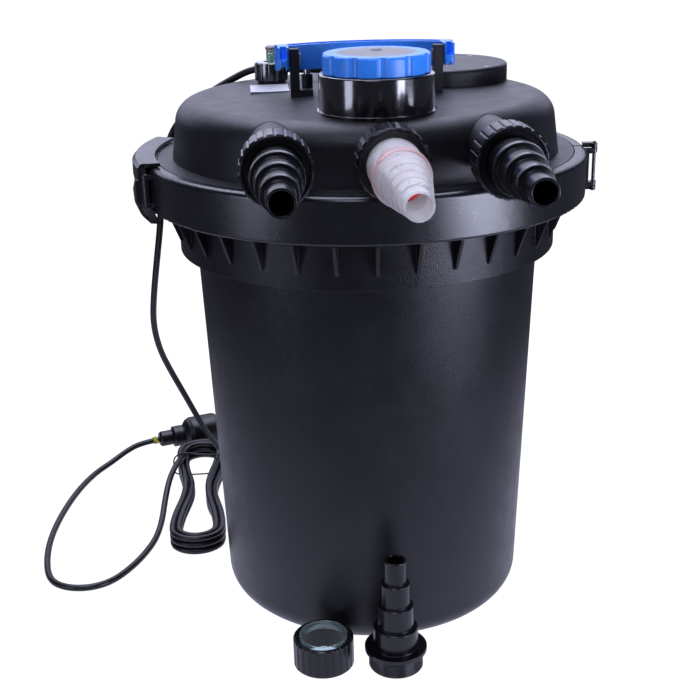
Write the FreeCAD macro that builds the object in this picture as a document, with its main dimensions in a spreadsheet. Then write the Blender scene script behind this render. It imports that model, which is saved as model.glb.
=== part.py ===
import FreeCAD, Part
import math
import os
import re
import Sketcher

from FreeCAD import Placement, Rotation, Vector

# Pressurized pond filter: a round tub with a domed lid, a clamp ring, three hose ports, a selector
# valve, a pump handle that squeezes the foam, and an ultraviolet lamp with its mains lead.
# The origin is the middle of the tub's foot, +Z is up and the hose ports point along -Y.

# Driving dimensions, in millimetres and degrees.
SIZES = {
    "wall": 3.0,
    "foot_radius": 145.4,
    "foot_round": 22.0,
    "body_radius": 157.9,
    "ledge_z": 351.0,
    "collar_radius": 173.0,
    "rim_radius": 193.0,
    "rim_low_z": 402.0,
    "rim_top_z": 411.0,
    "gusset_tip_z": 364.0,
    "gusset_top_z": 395.0,
    "gusset_reach": 185.0,
    "gusset_thick": 2.8,
    "gusset_count": 33,
    "gusset_turn": 5.5,
    "seal_thick": 2.0,
    "lid_step_z": 428.5,
    "lid_flat_z": 434.5,
    "lid_flat_radius": 188.5,
    "dome_low_radius": 174.8,
    "dome_high_radius": 168.1,
    "dome_edge_z": 484.5,
    "dome_top_z": 490.0,
    "dome_round": 20.0,
    "lid_wall": 3.5,
    "clamp_radius": 200.0,
    "clamp_low_z": 395.6,
    "clamp_top_z": 434.5,
    "clamp_wall": 5.0,
    "clamp_low_lip": 177.0,
    "clamp_top_lip": 189.3,
    "clamp_lip_thick": 5.6,
    "clamp_round": 4.5,
    "clamp_turn": -7.5,
    "clamp_gap_angle": 0.5,
    "hinge_radius": 208.5,
    "hinge_pad": 3.4,
    "hinge_pin_radius": 1.6,
    "hinge_knuckle_radius": 2.7,
    "latch_pivot_angle": 196.0,
    "latch_end_angle": 158.5,
    "latch_pivot_radius": 204.4,
    "latch_eye_radius": 3.5,
    "latch_pin_radius": 1.7,
    "latch_catch_reach": 3.0,
    "port_z": 463.5,
    "port_spacing": 87.0,
    "side_nut_face_y": -233.0,
    "middle_nut_face_y": -225.0,
    "spigot_radius": 20.0,
    "spigot_bore": 16.0,
    "thread_radius": 23.8,
    "nut_radius": 28.0,
    "nut_length": 28.0,
    "nut_lip": 4.0,
    "nut_recess": 2.2,
    "nut_bore": 24.2,
    "nut_mouth": 20.6,
    "nut_flutes": 24,
    "flute_radius": 1.2,
    "flute_depth": 0.9,
    "tail_flange_radius": 23.4,
    "tail_flange_thick": 4.0,
    "gasket_thick": 1.7,
    "step_length": 24.5,
    "step_a": 20.0,
    "step_b": 16.8,
    "step_c": 13.6,
    "step_d": 10.4,
    "barb": 0.8,
    "tail_bore": 8.6,
    "clear_a": 19.6,
    "clear_b": 17.8,
    "clear_c": 16.0,
    "clear_d": 14.0,
    "clear_e": 12.2,
    "clear_step": 14.0,
    "sight_radius": 21.0,
    "sight_length": 46.0,
    "neck_y": -108.0,
    "neck_radius": 47.5,
    "neck_low_z": 445.0,
    "neck_top_z": 517.0,
    "neck_wall": 4.0,
    "neck_bead": 1.6,
    "link_pipe_y": -116.5,
    "link_pipe_radius": 14.0,
    "link_pipe_bore": 11.0,
    "knob_radius": 44.0,
    "knob_height": 15.6,
    "knob_gap": 0.4,
    "knob_flutes": 12,
    "knob_disc_radius": 32.0,
    "spindle_radius": 8.0,
    "rotor_radius": 43.0,
    "drum_x": 73.0,
    "drum_y": 69.0,
    "drum_radius": 70.5,
    "drum_top_z": 502.0,
    "drum_wall": 3.0,
    "drum_cover": 3.0,
    "lamp_radius": 8.0,
    "sleeve_radius": 15.0,
    "sleeve_low_z": 178.0,
    "guard_radius": 28.0,
    "guard_low_z": 172.0,
    "indicator_x": -81.0,
    "indicator_y": 73.0,
    "indicator_nut_radius": 15.8,
    "indicator_nut_low_z": 489.5,
    "indicator_nut_height": 17.3,
    "indicator_tube_radius": 4.3,
    "indicator_top_z": 521.5,
    "label_x": -84.5,
    "label_y": 25.0,
    "post_x": 63.0,
    "post_y": -25.5,
    "post_width": 8.0,
    "post_depth": 11.0,
    "post_top_z": 528.5,
    "handle_low_z": 508.5,
    "handle_height": 21.5,
    "handle_bow_radius": 144.0,
    "handle_middle_y": 8.0,
    "handle_depth": 16.0,
    "handle_wall": 2.8,
    "handle_half_angle": 31.5,
    "lobe_in_x": 67.7,
    "lobe_out_x": 77.0,
    "lobe_front_y": -34.0,
    "rod_x": 51.0,
    "rod_y": -1.0,
    "rod_radius": 3.0,
    "rod_bush_radius": 5.0,
    "plate_z": 88.0,
    "plate_thick": 6.0,
    "plate_radius": 138.0,
    "foam_radius": 138.0,
    "grid_radius": 165.0,
    "grid_thick": 5.0,
    "inlet_radius": 20.0,
    "inlet_low_z": 30.0,
    "spare_thread_radius": 23.75,
    "spare_thread_height": 17.0,
    "spare_flange_radius": 27.85,
    "spare_flange_thick": 3.5,
    "spare_tail_x": 3.3,
    "spare_tail_y": -177.0,
    "spare_nut_x": -61.0,
    "spare_nut_y": -166.0,
    "spare_nut_radius": 27.2,
    "liner_rim": 0.9,
    "gland_y": 92.0,
    "gland_z": 495.5,
    "gland_start_x": 8.0,
    "gland_radius": 6.6,
    "gland_nut": 18.0,
    "gland_reach": 40.0,
    "cord_radius": 3.4,
    "hank_x": -181.0,
    "hank_front_y": 70.0,
    "hank_rear_y": 264.0,
    "hank_half_width": 33.6,
    "hank_low_z": 1.8,
    "hank_height": 22.4,
    "tie_y": 236.0,
    "tie_width": 4.0,
    "tie_thick": 1.2,
    "plug_radius": 20.5,
    "plug_length": 74.0,
    "plug_pin_radius": 2.4,
    "plug_pin_length": 19.0,
    "plug_pin_spacing": 19.0,
}

# The cord's route where it isn't wound up, chosen by hand: over the lid and down to the hank, and
# from the hank round a loose loop on the ground to the plug.
LEAD_ROUTE = [
    (-32, 92, 495.5), (-48, 92, 495.5), (-66, 98, 496.5), (-85, 107.5, 497), (-102, 114.5, 494),
    (-119, 118, 485.5), (-136, 119, 476.5), (-152, 116, 466), (-166, 112, 454), (-177.8, 108, 442),
    (-185.5, 107.5, 426), (-192, 109, 403), (-196, 112, 374), (-200, 117, 340), (-206.5, 127.5, 304),
    (-214.5, 147, 259), (-219.5, 166, 220), (-216, 183, 183), (-206, 198, 150), (-194.7, 208, 120),
    (-184, 215, 92), (-172.5, 222, 63), (-160.5, 232, 39), (-152.8, 249, 25.5), (-151.5, 264, 18),
]
LOOP_ROUTE = [
    (-205.5, 231, 21), (-209, 206, 26.5), (-216.5, 177, 25), (-220.5, 148, 14), (-222.5, 117, 5),
    (-226.5, 79, 3.8), (-236, 47, 3.8), (-248, 20, 3.8), (-265.3, -6.5, 3.8), (-287.5, -17.4, 3.8),
    (-312, -13.8, 3.8), (-330.2, 3, 3.8), (-339, 42, 3.8), (-342, 92, 3.8), (-337, 149, 3.8),
    (-326, 207, 3.8), (-311, 251, 3.8), (-293, 273, 7), (-275.4, 286.2, 15), (-257.6, 295.3, 20.8),
    (-235, 303.5, 20.8),
]
PLUG_HEADING = Vector(0.940, 0.341, 0)


document = FreeCAD.newDocument("pond_filter")
sheet = document.addObject("Spreadsheet::Sheet", "Sizes")
for row, (alias, value) in enumerate(SIZES.items(), start=1):
    sheet.set("A%d" % row, alias)
    sheet.set("B%d" % row, str(value))
    sheet.setAlias("B%d" % row, alias)
document.recompute()

parts = {}


def bound(text):
    """Turn a formula of size names into one that reads the sheet."""
    def from_sheet(match):
        word = match.group()
        return "Sizes." + word if word in SIZES else word
    return re.sub(r"[A-Za-z_]\w*", from_sheet, str(text))


def number(text):
    """Work a formula of size names out."""
    if isinstance(text, (int, float)):
        return float(text)
    result = sheet.evalExpression(bound(text))
    return float(getattr(result, "Value", result))


def bind(thing, name, text):
    """Tie one property of an object to the sheet."""
    thing.setExpression(name, bound(text))


def place(thing, x=0, y=0, z=0, axis=None, turn=0):
    """Put an object at bound coordinates, turned about an axis."""
    thing.Placement = Placement(Vector(number(x), number(y), number(z)),
                                Rotation(axis or Vector(0, 0, 1), number(turn)))
    bind(thing, "Placement.Base.x", x)
    bind(thing, "Placement.Base.y", y)
    bind(thing, "Placement.Base.z", z)
    return thing


def keep(name, thing):
    """Name a finished sub-part, whose label is also its file's name."""
    thing.Label = name
    parts[name] = thing
    return thing


# ---- PartDesign helpers ----------------------------------------------------------------------

def new_body(name):
    """Start a body."""
    return document.addObject("PartDesign::Body", name)


def plane_of(body, role):
    """Find one of a body's own origin planes or axes."""
    return [feature for feature in body.Origin.OriginFeatures if feature.Role == role][0]


def sketch_on(body, role):
    """Start a sketch on one of the body's origin planes."""
    sketch = body.newObject("Sketcher::SketchObject", body.Name + "_sketch")
    sketch.AttachmentSupport = [(plane_of(body, role), "")]
    sketch.MapMode = "FlatFace"
    return sketch


def outline(body, role, corners):
    """Draw a closed outline whose corners are all tied to the sheet."""
    sketch = sketch_on(body, role)
    spots = [Vector(number(across), number(up), 0) for across, up in corners]
    count = len(spots)
    for index, start in enumerate(spots):
        sketch.addGeometry(Part.LineSegment(start, spots[(index + 1) % count]), False)
    for index in range(count):
        sketch.addConstraint(Sketcher.Constraint("Coincident", index, 2, (index + 1) % count, 1))
    for index, corner in enumerate(corners):
        for kind, text in zip(("DistanceX", "DistanceY"), corner):
            rule = sketch.addConstraint(Sketcher.Constraint(kind, -1, 1, index, 1, number(text)))
            sketch.setExpression("Constraints[%d]" % rule, bound(text))
    return sketch


def circle_on(body, role, across, up, radius):
    """Draw a circle tied to the sheet."""
    sketch = sketch_on(body, role)
    middle = Vector(number(across), number(up), 0)
    sketch.addGeometry(Part.Circle(middle, Vector(0, 0, 1), number(radius)), False)
    for kind, text in (("DistanceX", across), ("DistanceY", up)):
        rule = sketch.addConstraint(Sketcher.Constraint(kind, -1, 1, 0, 3, number(text)))
        sketch.setExpression("Constraints[%d]" % rule, bound(text))
    rule = sketch.addConstraint(Sketcher.Constraint("Radius", 0, number(radius)))
    sketch.setExpression("Constraints[%d]" % rule, bound(radius))
    return sketch


def turned(name, corners, angle=360):
    """Turn an outline of radius and height about the vertical axis."""
    body = new_body(name)
    sketch = outline(body, "XZ_Plane", corners)
    feature = body.newObject("PartDesign::Revolution", name + "_turned")
    feature.Profile = sketch
    feature.ReferenceAxis = (sketch, ["V_Axis"])
    feature.Angle = number(angle)
    bind(feature, "Angle", angle)
    body.Tip = feature
    document.recompute()
    return body


def round_edges(body, radius, rings):
    """Round the circular edges that lie at the given radius and height."""
    found = []
    for ring_radius, height in rings:
        for index, edge in enumerate(body.Tip.Shape.Edges, start=1):
            curve = edge.Curve
            if not isinstance(curve, Part.Circle):
                continue
            same_size = abs(curve.Radius - number(ring_radius)) < 0.05
            if same_size and abs(curve.Center.z - number(height)) < 0.05:
                found.append("Edge%d" % index)
    if not found:
        raise RuntimeError("no edge to round on " + body.Name)
    feature = body.newObject("PartDesign::Fillet", body.Name + "_round")
    feature.Base = (body.Tip if body.Tip is not feature else feature.BaseFeature, found)
    feature.Radius = number(radius)
    bind(feature, "Radius", radius)
    body.Tip = feature
    document.recompute()
    return body


def around(body, feature, count):
    """Repeat a feature all the way round the vertical axis."""
    pattern = body.newObject("PartDesign::PolarPattern", body.Name + "_around")
    pattern.Originals = [feature]
    pattern.Axis = (plane_of(body, "Z_Axis"), [""])
    pattern.Angle = 360
    pattern.Occurrences = int(number(count))
    bind(pattern, "Occurrences", count)
    body.Tip = pattern
    document.recompute()
    return body


def flutes(body, count, circle, radius):
    """Cut upright grooves all round a turned body."""
    sketch = circle_on(body, "XY_Plane", circle, 0, radius)
    before = body.Tip.Shape.Volume
    cutter = body.newObject("PartDesign::Pocket", body.Name + "_groove")
    cutter.Profile = sketch
    cutter.Type = "ThroughAll"
    cutter.Reversed = True
    body.Tip = cutter
    document.recompute()
    if cutter.Shape.Volume >= before:
        raise RuntimeError("no groove was cut in " + body.Name)
    return around(body, cutter, count)


# ---- Part helpers ----------------------------------------------------------------------------

DIRECTIONS = {
    "+z": (Vector(0, 0, 1), 0),
    "-y": (Vector(1, 0, 0), 90),
    "+x": (Vector(0, 1, 0), 90),
    "-x": (Vector(0, 1, 0), -90),
}


def cylinder(radius, height, x=0, y=0, z=0, way="+z"):
    """Make a bound cylinder that grows from a point along a direction."""
    thing = document.addObject("Part::Cylinder", "cylinder")
    bind(thing, "Radius", radius)
    bind(thing, "Height", height)
    axis, turn = DIRECTIONS[way]
    return place(thing, x, y, z, axis, turn)


def box(x_size, y_size, z_size, x, y, z):
    """Make a bound box from its lowest corner."""
    thing = document.addObject("Part::Box", "box")
    bind(thing, "Length", x_size)
    bind(thing, "Width", y_size)
    bind(thing, "Height", z_size)
    return place(thing, x, y, z)


def joined(shapes, name="joined"):
    """Fuse shapes into one."""
    thing = document.addObject("Part::MultiFuse", name)
    thing.Shapes = shapes
    thing.Refine = True
    return thing


def group(shapes, name="group"):
    """Hold separate solids in one object."""
    thing = document.addObject("Part::Compound", name)
    thing.Links = shapes
    return thing


def swung(shapes, angle, middle=Vector()):
    """Swing shapes that were made on the +X side round an upright line to their own place."""
    held = group(shapes)
    held.Placement = Placement(middle, Rotation(Vector(0, 0, 1), number(angle)))
    return held


def cut(base, tools, name="cut"):
    """Cut tools from a base."""
    thing = document.addObject("Part::Cut", name)
    thing.Base = base
    thing.Tool = tools[0] if len(tools) == 1 else joined(tools)
    return thing


# ---- Tub -------------------------------------------------------------------------------------

def make_tub():
    """The tapered tub, its collar and rim, and the row of gussets under the rim."""
    taper = "(body_radius - foot_radius) / (ledge_z - foot_round)"
    body = turned("tub_body", [
        (0, 0),
        ("foot_radius - foot_round * %s" % taper, 0),
        ("body_radius", "ledge_z"),
        ("collar_radius", "ledge_z"),
        ("collar_radius", "rim_low_z"),
        ("rim_radius", "rim_low_z"),
        ("rim_radius", "rim_top_z"),
        ("collar_radius - wall", "rim_top_z"),
        ("collar_radius - wall", "ledge_z + wall"),
        ("body_radius - wall", "ledge_z + wall"),
        ("foot_radius - wall", "wall"),
        (0, "wall"),
    ])
    round_edges(body, "foot_round", [("foot_radius - foot_round * %s" % taper, 0)])
    round_edges(body, "foot_round - wall", [("foot_radius - wall", "wall")])
    sketch = outline(body, "XZ_Plane", [
        ("collar_radius - 0.5", "gusset_tip_z"),
        ("collar_radius + 1.5", "gusset_tip_z"),
        ("gusset_reach", "gusset_top_z - 4"),
        ("gusset_reach", "gusset_top_z"),
        ("collar_radius - 0.5", "gusset_top_z"),
    ])
    gusset = body.newObject("PartDesign::Pad", "gusset")
    gusset.Profile = sketch
    gusset.Midplane = True
    bind(gusset, "Length", "gusset_thick")
    body.Tip = gusset
    document.recompute()
    around(body, gusset, "gusset_count")
    keep("tub", place(body, 0, 0, 0, Vector(0, 0, 1), number("gusset_turn")))
    keep("tub_seal", turned("tub_seal_body", [
        ("rim_radius - 15", "rim_top_z"),
        ("rim_radius - 4", "rim_top_z"),
        ("rim_radius - 4", "rim_top_z + seal_thick"),
        ("rim_radius - 15", "rim_top_z + seal_thick"),
    ]))


# ---- Lid -------------------------------------------------------------------------------------

def lid_outer():
    """The lid's outer form as one full solid, which pieces that stand on the lid are cut by."""
    body = turned("lid_form", [
        (0, "rim_top_z"),
        ("dome_low_radius", "rim_top_z"),
        ("dome_low_radius", "lid_flat_z"),
        ("dome_high_radius", "dome_edge_z"),
        (0, "dome_top_z"),
    ])
    return round_edges(body, "dome_round", [("dome_high_radius", "dome_edge_z")])


def make_lid():
    """The domed lid with its stepped flange, skirt and the holes for what passes through it."""
    low = "rim_top_z + seal_thick"
    shell = turned("lid_shell", [
        ("collar_radius - wall - 5", "rim_top_z - 12"),
        ("collar_radius - wall - 1.5", "rim_top_z - 12"),
        ("collar_radius - wall - 1.5", low),
        ("rim_radius", low),
        ("rim_radius", "lid_step_z"),
        ("lid_flat_radius", "lid_step_z"),
        ("lid_flat_radius", "lid_flat_z"),
        ("dome_low_radius", "lid_flat_z"),
        ("dome_high_radius", "dome_edge_z"),
        (0, "dome_top_z"),
        (0, "dome_top_z - lid_wall"),
        ("dome_high_radius - lid_wall", "dome_edge_z - lid_wall"),
        ("dome_low_radius - lid_wall", "lid_flat_z + 1.5"),
        ("collar_radius - wall - 5", "lid_flat_z - 5"),
    ])
    round_edges(shell, "dome_round", [("dome_high_radius", "dome_edge_z")])
    round_edges(shell, "dome_round - lid_wall",
                [("dome_high_radius - lid_wall", "dome_edge_z - lid_wall")])
    holes = [cylinder("neck_radius + 0.1", 60, 0, "neck_y", "rim_top_z + 20")]
    for side in (-1, 1):
        holes.append(cylinder("spigot_radius + 0.1", 110, "%d * port_spacing" % side, -95, "port_z", "-y"))
        holes.append(cylinder("rod_radius + 1.3", 40, "%d * rod_x" % side, "rod_y", "dome_edge_z - 20"))
    holes.append(cylinder("spigot_radius + 0.1", 50, 0, -145, "port_z", "-y"))
    holes.append(cylinder("sleeve_radius + 4", 60, "drum_x", "drum_y", "dome_edge_z - 40"))
    holes.append(cylinder("indicator_tube_radius + 0.5", 60, "indicator_x", "indicator_y", "dome_edge_z - 40"))
    keep("lid", cut(shell, holes))


# ---- Valve -----------------------------------------------------------------------------------

def make_valve(form):
    """The selector valve: glossy neck, rotor, spindle, knob and its plain disc."""
    neck = turned("neck_body", [
        ("inlet_radius - 3", "neck_low_z"),
        ("neck_radius", "neck_low_z"),
        ("neck_radius", "neck_top_z"),
        ("spindle_radius + 0.05", "neck_top_z"),
        ("spindle_radius + 0.05", "neck_top_z - 5"),
        ("neck_radius - neck_wall", "neck_top_z - 5"),
        ("neck_radius - neck_wall", "neck_low_z + neck_wall"),
        ("inlet_radius - 3", "neck_low_z + neck_wall"),
    ])
    round_edges(neck, 1.5, [("neck_radius", "neck_top_z")])
    place(neck, 0, "neck_y", 0)
    bead = cut(cylinder("neck_radius + neck_bead", "dome_edge_z - 471 + 3", 0, "neck_y", 471),
               [form, cylinder("neck_radius", 40, 0, "neck_y", 460)])
    pipes = []
    bores = [cylinder("spigot_bore", 30, 0, "neck_y - neck_radius + 12", "port_z", "-y")]
    for side, way in ((-1, "-x"), (1, "+x")):
        start = "%d * (neck_radius - 8)" % side
        reach = "port_spacing - neck_radius - spigot_bore + 6"
        pipes.append(cylinder("link_pipe_radius", reach, start, "link_pipe_y", "port_z", way))
        bores.append(cylinder("link_pipe_bore", reach + " + 14", "%d * (neck_radius - 12)" % side,
                              "link_pipe_y", "port_z", way))
    chamber = cylinder("neck_radius - neck_wall", "neck_top_z - 5 - neck_low_z - neck_wall", 0, "neck_y",
                       "neck_low_z + neck_wall")
    shell = cut(joined([neck, bead] + pipes), bores + [chamber])
    keep("valve_neck", shell)

    rotor = turned("rotor_body", [
        (0, "neck_low_z + neck_wall + 0.6"),
        ("rotor_radius - 0.2", "neck_low_z + neck_wall + 0.6"),
        ("rotor_radius - 0.2", "neck_top_z - 6"),
        (0, "neck_top_z - 6"),
    ])
    place(rotor, 0, "neck_y", 0)
    passage = [
        cylinder("spigot_bore - 1", "rotor_radius + 5", 0, "neck_y", "port_z", "-y"),
        cylinder("inlet_radius - 4", 30, 0, "neck_y", "neck_low_z"),
    ]
    keep("valve_rotor", cut(rotor, passage))
    keep("valve_spindle", cylinder("spindle_radius", "knob_height + knob_gap + 3", 0, "neck_y",
                                   "neck_top_z - 6"))

    knob = turned("knob_body", [
        ("spindle_radius", 0),
        ("spindle_radius + 4", 0),
        ("spindle_radius + 4", "knob_height - 3.4"),
        ("knob_radius - 3.4", "knob_height - 3.4"),
        ("knob_radius - 3.4", 0),
        ("knob_radius", 0),
        ("knob_radius", "knob_height"),
        ("knob_disc_radius + 0.1", "knob_height"),
        ("knob_disc_radius + 0.1", "knob_height - 1.2"),
        ("spindle_radius", "knob_height - 1.2"),
    ])
    round_edges(knob, 2.4, [("knob_radius", "knob_height")])
    flutes(knob, "knob_flutes", "knob_radius + 4.2", 6)
    keep("valve_knob", place(knob, 0, "neck_y", "neck_top_z + knob_gap"))
    disc = turned("knob_disc_body", [
        (0, "knob_height - 1.2"),
        ("knob_disc_radius", "knob_height - 1.2"),
        ("knob_disc_radius", "knob_height"),
        (5, "knob_height + 1.2"),
        (4, "knob_height + 2.4"),
        (0, "knob_height + 2.4"),
    ])
    keep("knob_disc", place(disc, 0, "neck_y", "neck_top_z + knob_gap"))


# ---- Hose ports ------------------------------------------------------------------------------

def spigot(name, x, start_y, face_y, closed):
    """A threaded pipe stub that grows forward from inside the lid to its union nut."""
    end = "(%s) - (%s) - nut_lip - 0.3 - tail_flange_thick - gasket_thick" % (start_y, face_y)
    inner = [("spigot_bore", 0), ("spigot_radius", 0)]
    if closed:
        inner = [("spigot_bore", 4), (0, 4), (0, 0), ("spigot_radius", 0)]
    body = turned(name + "_body", inner + [
        ("spigot_radius", end + " - 17"),
        ("thread_radius", end + " - 16"),
        ("thread_radius", end),
        ("spigot_bore", end),
    ])
    place(body, x, start_y, "port_z", *DIRECTIONS["-y"])
    if not closed:
        return keep(name, cut(body, [cylinder("neck_radius", 90, 0, "neck_y", 430)]))
    side = 1 if number(x) < 0 else -1
    hole = cylinder("link_pipe_radius", "spigot_radius + 2", x, "link_pipe_y", "port_z",
                    "+x" if side > 0 else "-x")
    return keep(name, cut(body, [hole]))


def stepped(steps, start, bore_start, tip_bore, closed_flange):
    """The corners of a stepped hose tail: flange, ever smaller barbed steps and a plain tip."""
    corners = list(closed_flange)
    at = start
    for index, radius in enumerate(steps):
        corners.append((radius, at + (" + 0.6" if index else "")))
        if index < len(steps) - 1:
            corners.append((radius, at + " + step_length - 4.5"))
            corners.append((radius + " + barb", at + " + step_length - 3.5"))
        corners.append((radius, at + " + step_length"))
        at = at + " + step_length"
    corners += [(tip_bore, at), (tip_bore, at + " - step_length"), (bore_start, start)]
    return corners


def make_tails():
    """The two black hose tails and the clear one with its sight glass."""
    flange = [
        ("spigot_bore", 0),
        ("tail_flange_radius", 0),
        ("tail_flange_radius", "tail_flange_thick"),
        ("step_a", "tail_flange_thick"),
    ]
    for name, side in (("hose_tail_left", -1), ("hose_tail_right", 1)):
        corners = stepped(["step_a", "step_b", "step_c", "step_d"], "tail_flange_thick + nut_lip + 0.3",
                          "spigot_bore - 1", "tail_bore", flange)
        body = turned(name + "_body", corners)
        start = "side_nut_face_y + nut_lip + 0.3 + tail_flange_thick"
        keep(name, place(body, "%d * port_spacing" % side, start, "port_z", *DIRECTIONS["-y"]))
    front = "tail_flange_thick + nut_lip + 0.3 + sight_length"
    clear = turned("clear_tail_body", [
        ("sight_radius - 2.4", 0),
        ("tail_flange_radius", 0),
        ("tail_flange_radius", "tail_flange_thick"),
        ("nut_mouth - 0.6", "tail_flange_thick"),
        ("nut_mouth - 0.6", "tail_flange_thick + nut_lip + 0.6"),
        ("sight_radius", "tail_flange_thick + nut_lip + 1.6"),
        ("sight_radius", front + " - 6"),
        ("sight_radius + 0.8", front + " - 5"),
        ("sight_radius + 0.8", front + " - 1"),
        ("sight_radius - 0.4", front),
        ("clear_a", front),
        ("clear_a - 0.4", front + " + clear_step"),
        ("clear_b + 0.3", front + " + clear_step"),
        ("clear_b - 0.2", front + " + 2 * clear_step"),
        ("clear_c + 0.3", front + " + 2 * clear_step"),
        ("clear_c - 0.2", front + " + 3 * clear_step"),
        ("clear_d + 0.3", front + " + 3 * clear_step"),
        ("clear_d - 0.2", front + " + 4 * clear_step"),
        ("clear_e + 0.3", front + " + 4 * clear_step"),
        ("clear_e - 0.2", front + " + 5 * clear_step"),
        ("step_d", front + " + 5 * clear_step"),
        ("step_d", front + " + 6 * clear_step"),
        ("tail_bore", front + " + 6 * clear_step"),
        ("tail_bore", front + " + 60"),
        ("sight_radius - 4.4", front + " + 2"),
        ("sight_radius - 2.4", front + " - 7"),
    ])
    start = "middle_nut_face_y + nut_lip + 0.3 + tail_flange_thick"
    keep("clear_tail", place(clear, 0, start, "port_z", *DIRECTIONS["-y"]))
    ring = turned("flow_ring_body", [
        ("sight_radius - 4.6", 0),
        ("sight_radius - 2.4", 0),
        ("sight_radius - 2.4", 5),
        ("sight_radius - 4.6", 5),
    ])
    keep("flow_ring", place(ring, 0, start + " - (%s) + 12.5" % front, "port_z", *DIRECTIONS["-y"]))
    gaskets = []
    for x, face in (("-port_spacing", "side_nut_face_y"), ("0", "middle_nut_face_y"),
                    ("port_spacing", "side_nut_face_y")):
        gasket = turned("gasket_body", [
            ("spigot_bore + 2.6", 0),
            ("thread_radius - 1", 0),
            ("thread_radius - 1", "gasket_thick"),
            ("spigot_bore + 2.6", "gasket_thick"),
        ])
        back = face + " + nut_lip + 0.3 + tail_flange_thick + gasket_thick"
        gaskets.append(place(gasket, x, back, "port_z", *DIRECTIONS["-y"]))
    keep("tail_gaskets", group(gaskets))


def union_nut(name, radius, mouth):
    """A ribbed union nut, standing with its lip at the top."""
    body = turned(name + "_body", [
        ("nut_bore", 0),
        (radius + " - 1", 0),
        (radius, 1),
        (radius, "nut_length - 1.5"),
        (radius + " - 1.5", "nut_length"),
        (radius + " - 3", "nut_length"),
        (radius + " - 3.8", "nut_length - nut_recess"),
        (mouth, "nut_length - nut_recess"),
        (mouth, "nut_length - nut_lip"),
        ("nut_bore", "nut_length - nut_lip"),
    ])
    return flutes(body, "nut_flutes", radius + " + flute_radius - flute_depth", "flute_radius")


def make_ports():
    """Three spigots with their union nuts."""
    spigot("port_left", "-port_spacing", -98, "side_nut_face_y", True)
    spigot("port_right", "port_spacing", -98, "side_nut_face_y", True)
    spigot("port_middle", "0", "neck_y - neck_radius + 10", "middle_nut_face_y", False)
    rows = (("union_nut_left", "-port_spacing", "side_nut_face_y"),
            ("union_nut_middle", "0", "middle_nut_face_y"),
            ("union_nut_right", "port_spacing", "side_nut_face_y"))
    for name, x, face in rows:
        nut = union_nut(name, "nut_radius", "nut_mouth")
        keep(name, place(nut, x, face + " + nut_length", "port_z", *DIRECTIONS["-y"]))


# ---- Clamp ring ------------------------------------------------------------------------------


def clamp_half(name, first, last):
    """One half of the clamp ring, a channel that grips both rims, between two angles."""
    body = turned(name + "_ring", [
        ("clamp_low_lip", "clamp_low_z"),
        ("clamp_radius", "clamp_low_z"),
        ("clamp_radius", "clamp_top_z"),
        ("clamp_top_lip", "clamp_top_z"),
        ("clamp_top_lip", "clamp_top_z - clamp_lip_thick + 0.4"),
        ("clamp_radius - clamp_wall", "clamp_top_z - clamp_lip_thick"),
        ("clamp_radius - clamp_wall", "clamp_low_z + clamp_lip_thick"),
        ("clamp_low_lip", "clamp_low_z + clamp_lip_thick - 0.4"),
    ], last - first)
    round_edges(body, "clamp_round", [("clamp_radius", "clamp_top_z")])
    round_edges(body, "clamp_round / 2", [("clamp_radius", "clamp_low_z")])
    body.Placement = Placement(Vector(), Rotation(Vector(0, 0, 1), first))
    return body


def knuckle(low, high, turn, bore):
    """A hinge ear: an eye round the hinge pin and an arm that reaches back to the ring."""
    height = "%s - (%s)" % (high, low)
    eye = cylinder("hinge_knuckle_radius", height, "hinge_radius", 0, low)
    arm = box("hinge_radius - clamp_radius + 2", 7, height, "clamp_radius - 2",
              0 if turn > 0 else -7, low)
    solid = cut(joined([eye, arm]), [cylinder(bore, 60, "hinge_radius", 0, "clamp_low_z - 10")])
    return solid


def make_clamp():
    """The clamp ring's two halves, their hinge, and the over-centre latch lever."""
    gap = number("clamp_gap_angle")
    turn = number("clamp_turn")
    pad = box("hinge_pad + 2", 5, "clamp_top_z - clamp_low_z - 6", "clamp_radius - 2", -7, "clamp_low_z + 3")
    front_ears = [
        knuckle("clamp_low_z + 3", "clamp_low_z + 7", -1, "hinge_pin_radius"),
        knuckle("clamp_top_z - 5.9", "clamp_top_z - 1.9", -1, "hinge_pin_radius"),
    ]
    rear_ears = [
        knuckle("clamp_low_z - 1.4", "clamp_low_z + 2.6", 1, "hinge_pin_radius + 0.05"),
        knuckle("clamp_top_z - 1.5", "clamp_top_z + 2.5", 1, "hinge_pin_radius + 0.05"),
    ]
    front_hinge = swung([joined(front_ears + [pad])], "clamp_turn")
    rear_hinge = swung(rear_ears, "clamp_turn")
    front_ring = clamp_half("clamp_front", turn - 180 + gap, turn - gap)
    rear_ring = clamp_half("clamp_rear", turn + gap, turn + 180 - gap)
    lugs = swung([
        latch_lug("clamp_low_z + 5", "clamp_low_z + 9"),
        latch_lug("clamp_top_z - 9", "clamp_top_z - 5"),
    ], "latch_pivot_angle")
    catch = swung([box("latch_catch_reach + 2", 16, 20, "clamp_radius - 2", -8, "clamp_low_z + 9.5")],
                  "latch_end_angle + 5")
    keep("clamp_front", joined([front_ring, front_hinge, lugs]))
    keep("clamp_rear", joined([rear_ring, rear_hinge, catch]))
    keep("hinge_pin", swung([cylinder("hinge_pin_radius", "clamp_top_z - clamp_low_z + 6",
                                      "hinge_radius", 0, "clamp_low_z - 2")], "clamp_turn"))


def latch_lug(low, high):
    """An ear on the front half that carries the latch pin."""
    height = "%s - (%s)" % (high, low)
    eye = cylinder("latch_eye_radius", height, "latch_pivot_radius", 0, low)
    arm = box("latch_pivot_radius - clamp_radius + 2", "2 * latch_eye_radius", height,
              "clamp_radius - 2", "-latch_eye_radius", low)
    return cut(joined([eye, arm]), [cylinder("latch_pin_radius", 60, "latch_pivot_radius", 0, "clamp_low_z")])


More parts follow.
